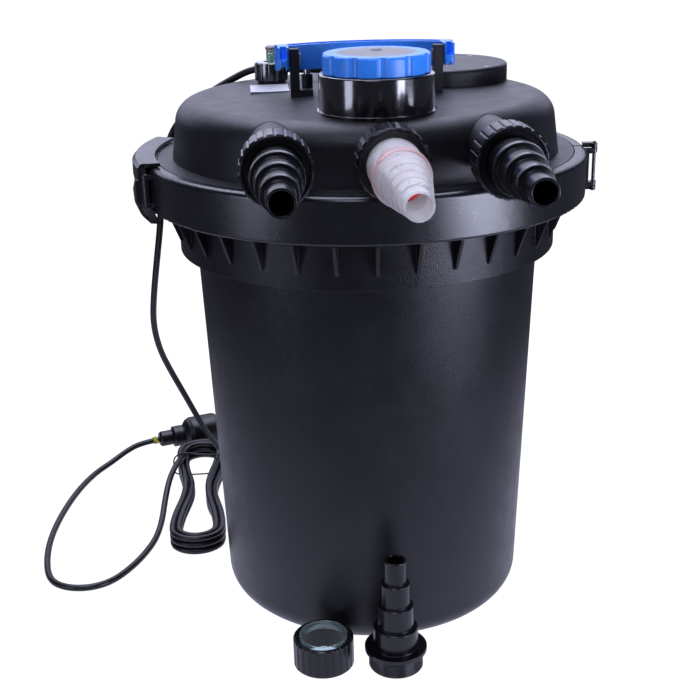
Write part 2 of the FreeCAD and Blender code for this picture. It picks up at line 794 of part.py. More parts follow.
def make_latch():
    """The latch lever: a curved shell, bowed outwards, that wraps the ring's left side."""
    shell = turned("latch_shell", [
        ("clamp_radius - 9.5", "clamp_top_z + 1"),
        ("clamp_radius - 9.5", "clamp_top_z + 4"),
        ("clamp_radius + 7.5", "clamp_top_z + 4.5"),
        ("clamp_radius + 10.6", "clamp_top_z + 1"),
        ("clamp_radius + 10.8", "clamp_top_z - 10"),
        ("clamp_radius + 9.6", "clamp_top_z - 17"),
        ("clamp_radius + 12", "clamp_top_z - 25"),
        ("clamp_radius + 11.6", "clamp_low_z + 5"),
        ("clamp_radius + 8.4", "clamp_low_z - 3"),
        ("clamp_radius + 2.5", "clamp_low_z - 9.5"),
        ("clamp_radius - 6", "clamp_low_z - 11"),
        ("clamp_radius - 6", "clamp_low_z - 8.4"),
        ("clamp_radius + 1.5", "clamp_low_z - 7"),
        ("clamp_radius + 6", "clamp_low_z - 2"),
        ("clamp_radius + 9", "clamp_low_z + 5"),
        ("clamp_radius + 9.4", "clamp_top_z - 25"),
        ("clamp_radius + 7.6", "clamp_top_z - 17"),
        ("clamp_radius + 8.4", "clamp_top_z - 10"),
        ("clamp_radius + 8.4", "clamp_top_z + 1"),
    ], "latch_pivot_angle - latch_end_angle")
    shell.Placement = Placement(Vector(), Rotation(Vector(0, 0, 1), number("latch_end_angle")))
    hub_height = "clamp_top_z - clamp_low_z - 18.8"
    hub = swung([joined([
        cylinder("latch_eye_radius - 0.3", hub_height, "latch_pivot_radius", 0, "clamp_low_z + 9.4"),
        box(8, 4, hub_height, "latch_pivot_radius + 1", -4, "clamp_low_z + 9.4"),
    ])], "latch_pivot_angle")
    bore = swung([cylinder("latch_pin_radius + 0.05", 60, "latch_pivot_radius", 0, "clamp_low_z - 5")],
                 "latch_pivot_angle")
    keep("latch_lever", cut(joined([shell, hub]), [bore]))
    keep("latch_pin", swung([cylinder("latch_pin_radius", "clamp_top_z - clamp_low_z - 9",
                                      "latch_pivot_radius", 0, "clamp_low_z + 4.5")], "latch_pivot_angle"))


# ---- Ballast drum and lamp -------------------------------------------------------------------

def make_lamp(form):
    """The ballast drum on the lid, its cover and screws, and the lamp that hangs below it."""
    drum = turned("drum_body", [
        (0, "dome_edge_z - 30"),
        ("drum_radius", "dome_edge_z - 30"),
        ("drum_radius", "drum_top_z - drum_cover"),
        ("drum_radius - drum_wall", "drum_top_z - drum_cover"),
        ("drum_radius - drum_wall", "dome_top_z - 1"),
        (0, "dome_top_z - 1"),
    ])
    place(drum, "drum_x", "drum_y", 0)
    room = cylinder("rod_bush_radius + 0.3", 90, "rod_x", "rod_y", 430)
    keep("ballast_housing", cut(drum, [form, cylinder("sleeve_radius + 4", 90, "drum_x", "drum_y", 420), room]))
    cover = turned("cover_body", [
        (0, "drum_top_z - drum_cover"),
        ("drum_radius", "drum_top_z - drum_cover"),
        ("drum_radius", "drum_top_z"),
        (0, "drum_top_z"),
    ])
    round_edges(cover, 2.9, [("drum_radius", "drum_top_z")])
    place(cover, "drum_x", "drum_y", 0)
    screws = []
    wells = []
    for index in range(4):
        angle = math.radians(45 + 90 * index)
        x = "drum_x + (drum_radius - 9) * %.6f" % math.cos(angle)
        y = "drum_y + (drum_radius - 9) * %.6f" % math.sin(angle)
        wells.append(cylinder(3.2, 2, x, y, "drum_top_z - 1.4"))
        screws.append(cylinder(3.1, 1.2, x, y, "drum_top_z - 1.4"))
    keep("ballast_cover", cut(cover, wells + [cylinder("rod_bush_radius + 0.3", 90, "rod_x", "rod_y", 430)]))
    keep("cover_screws", group(screws))
    keep("ballast_board", box(36, 50, 3, "drum_x - 58", "drum_y - 25", "dome_top_z - 1"))
    socket = turned("socket_body", [
        (0, "dome_edge_z - 16"),
        ("sleeve_radius - 2.4", "dome_edge_z - 16"),
        ("sleeve_radius - 2.4", "dome_edge_z - 4"),
        ("sleeve_radius + 3.8", "dome_edge_z - 4"),
        ("sleeve_radius + 3.8", "dome_top_z - 1"),
        (0, "dome_top_z - 1"),
    ])
    keep("lamp_socket", place(socket, "drum_x", "drum_y", 0))
    sleeve = turned("sleeve_body", [
        (0, "sleeve_low_z"),
        ("sleeve_radius", "sleeve_low_z"),
        ("sleeve_radius", "dome_edge_z - 4"),
        ("sleeve_radius - 1.5", "dome_edge_z - 4"),
        ("sleeve_radius - 1.5", "sleeve_low_z + 1.5"),
        (0, "sleeve_low_z + 1.5"),
    ])
    round_edges(sleeve, 8, [("sleeve_radius", "sleeve_low_z")])
    keep("quartz_sleeve", place(sleeve, "drum_x", "drum_y", 0))
    lamp = cylinder("lamp_radius", "dome_edge_z - 16 - sleeve_low_z - 12", "drum_x", "drum_y",
                    "sleeve_low_z + 12")
    keep("uv_lamp", lamp)
    guard = turned("guard_body", [
        ("guard_radius - 2", "guard_low_z"),
        ("guard_radius", "guard_low_z"),
        ("guard_radius", "ledge_z + wall + grid_thick + 40"),
        ("guard_radius - 2", "ledge_z + wall + grid_thick + 40"),
    ])
    sketch = sketch_on(guard, "YZ_Plane")
    rows = 9
    for row in range(rows):
        low = number("guard_low_z") + 14 + 22 * row
        box_corners = [Vector(-5, low, 0), Vector(5, low, 0), Vector(5, low + 15, 0), Vector(-5, low + 15, 0)]
        for index in range(4):
            sketch.addGeometry(Part.LineSegment(box_corners[index], box_corners[(index + 1) % 4]), False)
    slot = guard.newObject("PartDesign::Pocket", "guard_slot")
    slot.Profile = sketch
    slot.Type = "ThroughAll"
    slot.Midplane = True
    guard.Tip = slot
    document.recompute()
    around(guard, slot, 4)
    keep("lamp_guard", place(guard, "drum_x", "drum_y", 0))


# ---- Dirt indicator, label plate -------------------------------------------------------------

def make_indicator(form):
    """The dirt indicator on the lid, held down by a small ribbed nut."""
    base = cut(cylinder("indicator_nut_radius - 2.4", 40, "indicator_x", "indicator_y",
                        "indicator_nut_low_z + 8 - 40"),
               [form, cylinder("indicator_tube_radius", 90, "indicator_x", "indicator_y", 430)])
    keep("indicator_base", base)
    nut = turned("indicator_nut_body", [
        ("indicator_nut_radius - 2.4", 0),
        ("indicator_nut_radius - 0.8", 0),
        ("indicator_nut_radius", 0.8),
        ("indicator_nut_radius", "indicator_nut_height - 1.2"),
        ("indicator_nut_radius - 1.2", "indicator_nut_height"),
        ("indicator_tube_radius + 3", "indicator_nut_height"),
        ("indicator_tube_radius + 3", "indicator_nut_height - 2"),
        ("indicator_tube_radius", "indicator_nut_height - 2"),
        ("indicator_tube_radius", 8),
        ("indicator_nut_radius - 2.4", 8),
    ])
    flutes(nut, 14, "indicator_nut_radius + 1.6", 2.4)
    keep("indicator_nut", place(nut, "indicator_x", "indicator_y", "indicator_nut_low_z"))
    tube = turned("indicator_tube_body", [
        ("indicator_tube_radius - 1.1", "dome_edge_z - 12"),
        ("indicator_tube_radius", "dome_edge_z - 12"),
        ("indicator_tube_radius", "indicator_top_z - 3.4"),
        ("indicator_tube_radius - 1.1", "indicator_top_z - 3.4"),
    ])
    keep("indicator_tube", place(tube, "indicator_x", "indicator_y", 0))
    cap = turned("indicator_cap_body", [
        (0, "indicator_top_z - 3.4"),
        ("indicator_tube_radius + 0.8", "indicator_top_z - 3.4"),
        ("indicator_tube_radius + 0.8", "indicator_top_z - 1.4"),
        ("indicator_tube_radius - 1.4", "indicator_top_z"),
        (0, "indicator_top_z"),
    ])
    keep("indicator_cap", place(cap, "indicator_x", "indicator_y", 0))
    keep("indicator_float", cylinder("indicator_tube_radius - 1.5", 11, "indicator_x", "indicator_y",
                                     "indicator_top_z - 18.5"))
    plate = cut(box(35, 46, 8, "label_x - 17.5", "label_y - 23", "dome_top_z - 1.4 - 8"), [form])
    keep("label_plate", plate)


# ---- Handle and foam pack --------------------------------------------------------------------

def make_handle(form):
    """The pump handle, its pull rods, their bushes, and the posts that guide it."""
    inner = "handle_bow_radius - handle_depth / 2"
    outer = "handle_bow_radius + handle_depth / 2"
    body = turned("handle_bar", [
        (inner, 0),
        (outer, 0),
        (outer, "handle_height"),
        (outer + " - handle_wall", "handle_height"),
        (outer + " - handle_wall", 6),
        (inner + " + handle_wall", 6),
        (inner + " + handle_wall", "handle_height"),
        (inner, "handle_height"),
    ], "2 * handle_half_angle")
    middle = Vector(0, number("handle_middle_y - handle_bow_radius"), number("handle_low_z"))
    body.Placement = Placement(middle, Rotation(Vector(0, 0, 1), 90 - number("handle_half_angle")))
    rib_count = 7
    rib_angle = 7.4
    ribs = []
    for index in range(rib_count):
        rib = box("handle_depth - 2", 1.8, "handle_height - 1", inner + " + 1", -0.9, 0)
        ribs.append(swung([rib], 90 + rib_angle * (index - 3), middle))
    lobes = []
    slots = []
    for side in (-1, 1):
        low_x = "%d * (lobe_in_x + lobe_out_x) / 2 - (lobe_out_x - lobe_in_x) / 2" % side
        lobe = document.addObject("Part::Fillet", "lobe")
        block = box("lobe_out_x - lobe_in_x", 32, "handle_height - 3", low_x, "lobe_front_y",
                    "handle_low_z + 3")
        document.recompute()
        lobe.Base = block
        lobe.Edges = [(index + 1, 3.0, 3.0) for index, edge in enumerate(block.Shape.Edges)
                      if edge.BoundBox.ZLength > 10 and edge.CenterOfMass.y < number("lobe_front_y") + 1]
        lobes.append(lobe)
        mid_x = "%d * (lobe_in_x + lobe_out_x) / 2" % side
        slots.append(cylinder(2.9, 14, mid_x, "lobe_front_y + 13", "handle_low_z + handle_height - 8", "-y"))
        slots.append(box(5.8, 14, 12, mid_x + " - 2.9", "lobe_front_y - 1", "handle_low_z + handle_height - 8"))
        slots.append(cylinder(3.2, 60, mid_x, "lobe_front_y + 40", "handle_low_z + 2.2", "-y"))
    rod_seats = [cylinder("rod_radius", 5, "%d * rod_x" % side, "rod_y", "handle_low_z") for side in (-1, 1)]
    keep("handle", cut(joined([body] + ribs + lobes), slots + rod_seats))

    posts = []
    clips = []
    bushes = []
    rods = []
    nuts = []
    for side in (-1, 1):
        x = "%d * post_x" % side
        shaft = box("post_width", "post_depth", "post_top_z - dome_edge_z + 12", x + " - post_width / 2",
                    "post_y - post_depth / 2", "dome_edge_z - 12")
        foot_x = "post_x - post_width / 2 - 11.5" if side > 0 else "-post_x + post_width / 2"
        foot = box(11.5, "post_depth", "dome_top_z + 3.5 - dome_edge_z + 12", foot_x,
                   "post_y - post_depth / 2", "dome_edge_z - 12")
        posts.append(cut(joined([shaft, foot]), [form]))
        clip_x = x + (" + post_width / 2" if side < 0 else " - post_width / 2 - 1.6")
        clips.append(box(1.6, 4, 10, clip_x, "post_y - 2", "post_top_z - 14"))
        bush = cut(cylinder("rod_bush_radius", 40, "%d * rod_x" % side, "rod_y", "handle_low_z - 5 - 40"),
                   [form, cylinder("rod_radius + 0.05", 90, "%d * rod_x" % side, "rod_y", 440)])
        bushes.append(bush)
        rods.append(cylinder("rod_radius", "handle_low_z + 5 - plate_z", "%d * rod_x" % side, "rod_y",
                             "plate_z"))
        nuts.append(cylinder("rod_radius + 3", 4, "%d * rod_x" % side, "rod_y", "plate_z - 4"))
    keep("guide_posts", group(posts))
    keep("post_clips", group(clips))
    keep("rod_bushes", group(bushes))
    keep("pull_rods", group(rods))
    keep("rod_nuts", group(nuts))


def passages(low, height, rod_gap, with_guard=True):
    """The holes that every plate and foam disc has for the tube, the rods and the lamp guard."""
    holes = [cylinder("inlet_radius + 1", height, 0, "neck_y", low)]
    for side in (-1, 1):
        holes.append(cylinder("rod_radius + %s" % rod_gap, height, "%d * rod_x" % side, "rod_y", low))
    if with_guard:
        holes.append(cylinder("guard_radius + 0.6", height, "drum_x", "drum_y", low))
    return holes


def make_pack():
    """The foam discs between the lift plate and the upper grid, and the inlet tube."""
    grid_low = "ledge_z + wall"
    slots = [swung([box("grid_radius - 75", 9, 30, 52, -4.5, 340)], 15 + 30 * index)
             for index in range(12)]
    grid = cut(cylinder("grid_radius", "grid_thick", 0, 0, grid_low), passages(340, 40, "1") + slots)
    keep("upper_grid", grid)
    plate_slots = [swung([box("plate_radius - 68", 9, 30, 60, -4.5, 75)], 15 + 30 * index)
                   for index in range(12)]
    keepers = [cylinder("rod_radius + 8", "plate_thick", "%d * rod_x" % side, "rod_y", "plate_z")
               for side in (-1, 1)]
    plate = cut(joined([cut(cylinder("plate_radius", "plate_thick", 0, 0, "plate_z"), plate_slots)] + keepers),
                passages(70, 40, "0", False))
    keep("lift_plate", plate)
    low = "plate_z + plate_thick"
    third = "(%s - (%s)) / 3" % (grid_low, low)
    for index, name in enumerate(("foam_coarse", "foam_medium", "foam_fine")):
        start = "%s + %d * %s" % (low, index, third)
        keep(name, cut(cylinder("foam_radius", third, 0, 0, start), passages(80, 300, "1")))
    tube = turned("inlet_tube_body", [
        ("inlet_radius - 3", "inlet_low_z"),
        ("inlet_radius", "inlet_low_z"),
        ("inlet_radius", "neck_low_z"),
        ("inlet_radius - 3", "neck_low_z"),
    ])
    keep("inlet_tube", place(tube, 0, "neck_y", 0))


# ---- Loose fittings --------------------------------------------------------------------------

def make_spares():
    """The spare stepped tail and the spare union nut with its clear liner, on the ground."""
    top = "spare_thread_height + spare_flange_thick"
    tail = turned("spare_tail_body", [
        (18, 0),
        ("spare_thread_radius - 1", 0),
        ("spare_thread_radius", 1),
        ("spare_thread_radius", "spare_thread_height - 1.5"),
        ("spare_thread_radius - 1.2", "spare_thread_height - 1"),
        ("spare_thread_radius - 1.2", "spare_thread_height"),
        ("spare_flange_radius", "spare_thread_height"),
        ("spare_flange_radius", top),
        (20, top),
        (20, top + " + 19.5"),
        (19, top + " + 20.5"),
        (16.2, top + " + 20.5"),
        (16.2, top + " + 41.5"),
        (15.2, top + " + 42.5"),
        (13, top + " + 42.5"),
        (13, top + " + 63.5"),
        (12, top + " + 64.5"),
        (9.8, top + " + 64.5"),
        (9.8, top + " + 85.6"),
        (9.2, top + " + 86.5"),
        (7.6, top + " + 86.5"),
        (7.6, top + " + 60"),
        (16, top),
    ])
    keep("spare_hose_tail", place(tail, "spare_tail_x", "spare_tail_y", 0))
    nut = union_nut("spare_union_nut", "spare_nut_radius", "nut_mouth + liner_rim + 0.1")
    keep("spare_union_nut", place(nut, "spare_nut_x", "spare_nut_y", 0))
    liner = turned("spare_liner_body", [
        ("nut_mouth - 0.2", "nut_length - nut_lip - 2.5"),
        ("nut_bore - 0.3", "nut_length - nut_lip - 2.5"),
        ("nut_bore - 0.3", "nut_length - nut_lip"),
        ("nut_mouth + liner_rim", "nut_length - nut_lip"),
        ("nut_mouth + liner_rim", "nut_length + 1.4"),
        ("nut_mouth - 0.2", "nut_length + 1.4"),
    ])
    keep("spare_nut_liner", place(liner, "spare_nut_x", "spare_nut_y", 0))


# ---- Mains lead ------------------------------------------------------------------------------

def cord_tube(name, route):
    """A tube along straight runs that tangent arcs join; each arc is as large as its runs allow."""
    spots = [Vector(*spot) for spot in route]
    edges = []
    start = spots[0]
    radii = []
    for before, corner, after in zip(spots, spots[1:], spots[2:]):
        back = (before - corner).normalize()
        ahead = (after - corner).normalize()
        shorter = min((before - corner).Length, (after - corner).Length)
        half_turn = (math.pi - back.getAngle(ahead)) / 2
        reach = 0.45 * shorter
        radii.append(reach / math.tan(half_turn))
        enter = corner + back * reach
        leave = corner + ahead * reach
        to_middle = (back + ahead).normalize()
        depth = radii[-1] * (1 / math.cos(half_turn) - 1)
        edges.append(Part.LineSegment(start, enter).toShape())
        edges.append(Part.Arc(enter, corner + to_middle * depth, leave).toShape())
        start = leave
    edges.append(Part.LineSegment(start, spots[-1]).toShape())
    path = Part.Wire(edges)
    heading = spots[1] - spots[0]
    section = Part.Wire([Part.Circle(spots[0], heading, number("cord_radius")).toShape()])
    tube = document.addObject("Part::Feature", name + "_tube")
    tube.Shape = path.makePipeShell([section], True, False)
    whole = math.pi * number("cord_radius") ** 2 * path.Length
    print("%s: length %.1f, volume/section %.4f, smallest radius %.1f, radii %s" % (
        name, path.Length, tube.Shape.Volume / whole, min(radii), " ".join("%.0f" % r for r in radii)))
    return keep(name, tube)


def make_hank():
    """The outer form of the wound part of the cord, lying on the ground beside the tub."""
    solid = joined([
        cylinder("hank_half_width", "hank_height", "hank_x", "hank_front_y", "hank_low_z"),
        cylinder("hank_half_width", "hank_height", "hank_x", "hank_rear_y", "hank_low_z"),
        box("2 * hank_half_width", "hank_rear_y - hank_front_y", "hank_height",
            "hank_x - hank_half_width", "hank_front_y", "hank_low_z"),
    ])
    document.recompute()
    rounded = document.addObject("Part::Fillet", "hank")
    rounded.Base = solid
    radius = number("cord_radius")
    rounded.Edges = [(index, radius, radius) for index, edge in enumerate(solid.Shape.Edges, start=1)
                     if edge.BoundBox.ZLength < 0.01]
    keep("cord_hank", rounded)


def make_plug():
    """The moulded plug with its stepped relief, lying on the ground, and its two pins."""
    tip = Vector(*LOOP_ROUTE[-1])
    lie = Rotation(Vector(0, 0, 1), PLUG_HEADING)
    plug = turned("plug_form", [
        (0, 0),
        (7.5, 0),
        (9.4, 2),
        (9.4, 15),
        (8.6, 16),
        (12.9, 18),
        (12.9, 29),
        (12, 31),
        ("plug_radius - 2.5", 36),
        ("plug_radius", 41),
        ("plug_radius", "plug_length - 3"),
        ("plug_radius - 1", "plug_length"),
        (0, "plug_length"),
    ])
    plug.Placement = Placement(tip, lie)
    keep("plug_body", plug)
    pins = group([cylinder("plug_pin_radius", "plug_pin_length", 0, "%d * plug_pin_spacing / 2" % side,
                           "plug_length") for side in (-1, 1)])
    pins.Placement = Placement(tip, lie)
    keep("plug_pins", pins)


def make_ties():
    """A flat tie round the hank and a round one on the cord next to the plug."""
    outer = box("2 * (hank_half_width + tie_thick)", "tie_width", "hank_height + 2 * tie_thick",
                "hank_x - hank_half_width - tie_thick", "tie_y", "hank_low_z - tie_thick")
    inner = box("2 * hank_half_width", "tie_width + 2", "hank_height", "hank_x - hank_half_width",
                "tie_y - 1", "hank_low_z")
    tip = Vector(*LOOP_ROUTE[-1])
    run = (Vector(*LOOP_ROUTE[-2]) - tip).normalize()
    ring = group([cut(cylinder("cord_radius + 1.1", "tie_width"), [cylinder("cord_radius", "tie_width")])])
    ring.Placement = Placement(tip + run * 3, Rotation(Vector(0, 0, 1), run))
    keep("cord_ties", group([cut(outer, [inner]), ring]))


def make_cord():
    """The cable gland on the drum, the cord, its ties and its plug."""
    gland = turned("gland_body", [
        (0, 0),
        ("gland_radius", 0),
        ("gland_radius", "gland_nut - 1"),
        ("gland_radius - 1", "gland_nut"),
        ("cord_radius + 0.8", "gland_reach"),
        (0, "gland_reach"),
    ])
    place(gland, "gland_start_x", "gland_y", "gland_z", *DIRECTIONS["-x"])
    form = cylinder("drum_radius", 60, "drum_x", "drum_y", "drum_top_z - 40")
    keep("cable_gland", cut(gland, [form]))
    cord_tube("cord_lead", LEAD_ROUTE)
    cord_tube("cord_loop", LOOP_ROUTE)
    make_hank()
    make_plug()
    make_ties()


make_tub()
lid_form = lid_outer()
make_lid()
make_valve(lid_form)
make_ports()
make_tails()
make_clamp()
make_latch()
make_lamp(lid_form)
make_indicator(lid_form)
make_handle(lid_form)
make_pack()
make_spares()
make_cord()
document.recompute()

for thing in document.Objects:
    if "Invalid" in thing.State or "Error" in thing.State:
        raise RuntimeError("%s (%s) failed: %s" % (thing.Name, thing.Label, thing.State))
for name, thing in parts.items():
    if thing.Shape.isNull() or not thing.Shape.isValid() or not thing.Shape.Solids:
        raise RuntimeError("sub-part %s has no valid solid" % name)

os.makedirs("parts", exist_ok=True)
for name, thing in parts.items():
    thing.Shape.exportStep(os.path.join("parts", name + ".step"))
    print("%-20s %2d solids %10.1f mm3" % (name, len(thing.Shape.Solids), thing.Shape.Volume))
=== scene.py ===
import logging
import math
from dataclasses import dataclass
from enum import Enum
from typing import Any, Sequence

import bmesh
import bpy
from mathutils import Matrix, Vector


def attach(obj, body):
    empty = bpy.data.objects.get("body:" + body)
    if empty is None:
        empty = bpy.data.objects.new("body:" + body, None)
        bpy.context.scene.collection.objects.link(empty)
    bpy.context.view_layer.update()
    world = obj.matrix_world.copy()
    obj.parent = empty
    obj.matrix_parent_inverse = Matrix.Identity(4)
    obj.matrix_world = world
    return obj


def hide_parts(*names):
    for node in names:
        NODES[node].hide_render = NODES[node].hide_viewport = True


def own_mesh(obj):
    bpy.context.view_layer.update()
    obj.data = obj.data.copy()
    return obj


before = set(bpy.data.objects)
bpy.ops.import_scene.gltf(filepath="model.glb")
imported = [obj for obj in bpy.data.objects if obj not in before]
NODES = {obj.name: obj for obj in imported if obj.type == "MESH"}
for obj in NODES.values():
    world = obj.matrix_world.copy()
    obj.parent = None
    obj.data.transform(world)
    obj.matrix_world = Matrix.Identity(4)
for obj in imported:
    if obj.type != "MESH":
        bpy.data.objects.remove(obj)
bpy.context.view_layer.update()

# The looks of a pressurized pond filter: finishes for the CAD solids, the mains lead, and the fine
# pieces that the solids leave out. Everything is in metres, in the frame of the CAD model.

LOG = logging.getLogger("pond_filter")
TUBE_RINGS = 5
TUBE_SPANS = 5
Point = tuple[float, float, float]
Colour = tuple[float, float, float, float]


class Body(Enum):
    """The rigid bodies that the pieces made here ride on."""

    FILTER = "filter"
    SPARE_TAIL = "spare_tail"


# ---- Node building ---------------------------------------------------------------------------


class NodeBuilder:
    """Fills a node tree."""

    def __init__(self, tree: bpy.types.NodeTree) -> None:
        """Start with the tree empty.

        Args:
            tree: The tree to fill.
        """
        self.tree = tree
        self.tree.nodes.clear()

    def add(self, kind: str, inputs: dict[Any, Any] | None = None, **settings: Any) -> bpy.types.Node:
        """Add a node.

        Args:
            kind: The node's type.
            inputs: Values or sockets for its inputs, by name or number.
            settings: The node's own properties.

        Returns:
            The new node.
        """
        node = self.tree.nodes.new(kind)
        for key, value in settings.items():
            setattr(node, key, value)
        for key, value in (inputs or {}).items():
            if isinstance(value, bpy.types.NodeSocket):
                self.tree.links.new(value, node.inputs[key])
            else:
                node.inputs[key].default_value = value
        return node

    def maths(self, operation: str, *values: Any) -> bpy.types.NodeSocket:
        """Work out one value from others.

        Args:
            operation: The name of the sum.
            values: The values or sockets that go into it.

        Returns:
            The result's socket.
        """
        return self.add("ShaderNodeMath", dict(enumerate(values)), operation=operation).outputs[0]

    def seen_directly(self) -> bpy.types.NodeSocket:
        """Tell rays from the camera and rays through clear plastic from all others.

        Returns:
            The socket of a mask, which is 1 for those rays.
        """
        path = self.add("ShaderNodeLightPath").outputs
        return self.maths("MAXIMUM", path["Is Camera Ray"], path["Is Transmission Ray"])


class ShaderTree(NodeBuilder):
    """Builds one material's node tree."""

    def __init__(self, name: str) -> None:
        """Start an empty material.

        Args:
            name: The material's name.
        """
        self.material = bpy.data.materials.new(name)
        self.material.use_nodes = True
        super().__init__(self.material.node_tree)
        self.output = self.add("ShaderNodeOutputMaterial")

    def position(self, stretch: Point = (1.0, 1.0, 1.0)) -> bpy.types.NodeSocket:
        """Give the object coordinates, stretched along each axis.

        Args:
            stretch: The scale along each axis.

        Returns:
            The socket with the coordinates.
        """
        place = self.add("ShaderNodeTexCoord").outputs["Object"]
        return self.add("ShaderNodeMapping", {"Vector": place, "Scale": stretch}).outputs["Vector"]

    def noise(self, place: bpy.types.NodeSocket, size: float, detail: float = 2.0) -> bpy.types.NodeSocket:
        """Make a noise with features of about the given size.

        Args:
            place: The coordinates.
            size: The features' size in metres.
            detail: The number of octaves.

        Returns:
            The noise's value socket.
        """
        inputs = {"Vector": place, "Scale": 1.0 / size, "Detail": detail}
        return self.add("ShaderNodeTexNoise", inputs).outputs["Fac"]

    def span(self, value: bpy.types.NodeSocket, old: tuple[float, float],
             new: tuple[float, float]) -> bpy.types.NodeSocket:
        """Map a value from one range to another.

        Args:
            value: The value socket.
            old: The range it comes in.
            new: The range it leaves in.

        Returns:
            The mapped value's socket.
        """
        inputs = {"Value": value, "From Min": old[0], "From Max": old[1], "To Min": new[0],
                  "To Max": new[1]}
        return self.add("ShaderNodeMapRange", inputs).outputs["Result"]

    def mixed(self, share: Any, first: Any, second: Any) -> bpy.types.NodeSocket:
        """Mix two colours.

        Args:
            share: The second colour's share.
            first: The first colour.
            second: The second colour.

        Returns:
            The mixed colour's socket.
        """
        node = self.add("ShaderNodeMix", {0: share, 6: first, 7: second}, data_type="RGBA")
        return node.outputs[2]

    def rounded(self, radius: float) -> tuple[bpy.types.NodeSocket, bpy.types.NodeSocket]:
        """Round the edges in the shading.

        Args:
            radius: The radius of the rounding in metres.

        Returns:
            The rounded normal, and a mask that is 1 on the edges.
        """
        normal = self.add("ShaderNodeBevel", {"Radius": radius}, samples=6).outputs["Normal"]
        flat = self.add("ShaderNodeNewGeometry").outputs["Normal"]
        dot = self.add("ShaderNodeVectorMath", {0: normal, 1: flat}, operation="DOT_PRODUCT")
        return normal, self.span(dot.outputs["Value"], (0.995, 0.86), (0.0, 1.0))

    def surface(self, shader: bpy.types.NodeSocket) -> bpy.types.Material:
        """Connect the finished surface.

        Args:
            shader: The last shader's socket.

        Returns:
            The material.
        """
        self.tree.links.new(shader, self.output.inputs["Surface"])
        return self.material


def lighter(colour: Sequence[float], factor: float) -> Colour:
    """Scale a colour's brightness and give it full opacity.

    Args:
        colour: The colour's red, green and blue.
        factor: The scale, where 1 keeps the colour as it is.

    Returns:
        The colour with an opacity of 1.
    """
    return (min(colour[0] * factor, 1.0), min(colour[1] * factor, 1.0), min(colour[2] * factor, 1.0), 1.0)


@dataclass(frozen=True)
class MouldedPlastic:
    """Injection-moulded plastic: fine grain, uneven sheen and edges that catch the light, with their colour
    also painted lighter, as edge wear and as a painted highlight.
    """

    name: str
    colour: tuple[float, float, float]
    roughness: float = 0.5
    grain: float = 0.0009
    relief: float = 0.12
    variation: float = 0.25
    sheen_variation: float = 0.08
    edge_radius: float = 0.0007
    edge_light: float = 2.2
    coat: float = 0.0
    specular: float = 0.5
    patch: float = 0.07
    rub: float = 0.018
    coat_roughness: float = 0.08

    def build(self) -> bpy.types.Material:
        """Build the material.

        Returns:
            The material.
        """
        shader = ShaderTree(self.name)
        place = shader.position()
        fine = shader.noise(place, self.grain, 3.0)
        broad = shader.noise(place, self.patch, 4.0)
        rubbed = shader.noise(place, self.rub, 6.0)
        normal, edge = shader.rounded(self.edge_radius)
        low = lighter(self.colour, 1.0 - self.variation)
        high = lighter(self.colour, 1.0 + self.variation)
        # The broad noise sways the tone, and dust gathers where the finer one is high.
        tone = shader.mixed(shader.span(broad, (0.35, 0.65), (0.0, 1.0)), low, high)
        dusted = shader.mixed(shader.span(rubbed, (0.56, 0.74), (0.0, 0.35)), tone,
                              lighter(self.colour, 1.0 + 2.0 * self.variation))
        # The edges are painted lighter by edge_light: partly edge wear, partly a painted highlight.
        worn_and_edge_highlit = shader.mixed(edge, dusted, lighter(self.colour, self.edge_light))
        sheen = (self.roughness - self.sheen_variation, self.roughness + self.sheen_variation)
        rough = shader.span(rubbed, (0.30, 0.70), sheen)
        bump = shader.add("ShaderNodeBump", {"Strength": self.relief, "Distance": self.grain,
                                             "Height": fine, "Normal": normal})
        body = shader.add("ShaderNodeBsdfPrincipled", {
            "Base Color": worn_and_edge_highlit, "Roughness": rough, "Normal": bump.outputs["Normal"],
            "Specular IOR Level": self.specular, "Coat Weight": self.coat,
            "Coat Roughness": self.coat_roughness})
        return shader.surface(body.outputs["BSDF"])


@dataclass(frozen=True)
class ClearPlastic:
    """Clear or milky moulded plastic or glass."""

    name: str
    colour: tuple[float, float, float]
    clearness: float = 0.8
    roughness: float = 0.06
    bend: float = 1.49
    ripple: float = 0.012
    edge_radius: float = 0.0006

    def build(self) -> bpy.types.Material:
        """Build the material.

        Returns:
            The material.
        """
        shader = ShaderTree(self.name)
        place = shader.position()
        flow = shader.noise(place, self.ripple, 4.0)
        normal, edge = shader.rounded(self.edge_radius)
        tone = shader.mixed(shader.span(flow, (0.35, 0.70), (0.0, 1.0)), lighter(self.colour, 0.9),
                            lighter(self.colour, 1.06))
        # The edges are painted white, as a painted highlight.
        edge_highlit = shader.mixed(edge, tone, (1.0, 1.0, 1.0, 1.0))
        rough = shader.span(flow, (0.30, 0.70), (self.roughness, self.roughness + 0.10))
        bump = shader.add("ShaderNodeBump", {"Strength": 0.10, "Distance": 0.001, "Height": flow,
                                             "Normal": normal})
        body = shader.add("ShaderNodeBsdfPrincipled", {
            "Base Color": edge_highlit, "Roughness": rough, "Normal": bump.outputs["Normal"], "IOR": self.bend,
            "Transmission Weight": self.clearness})
        return shader.surface(body.outputs["BSDF"])


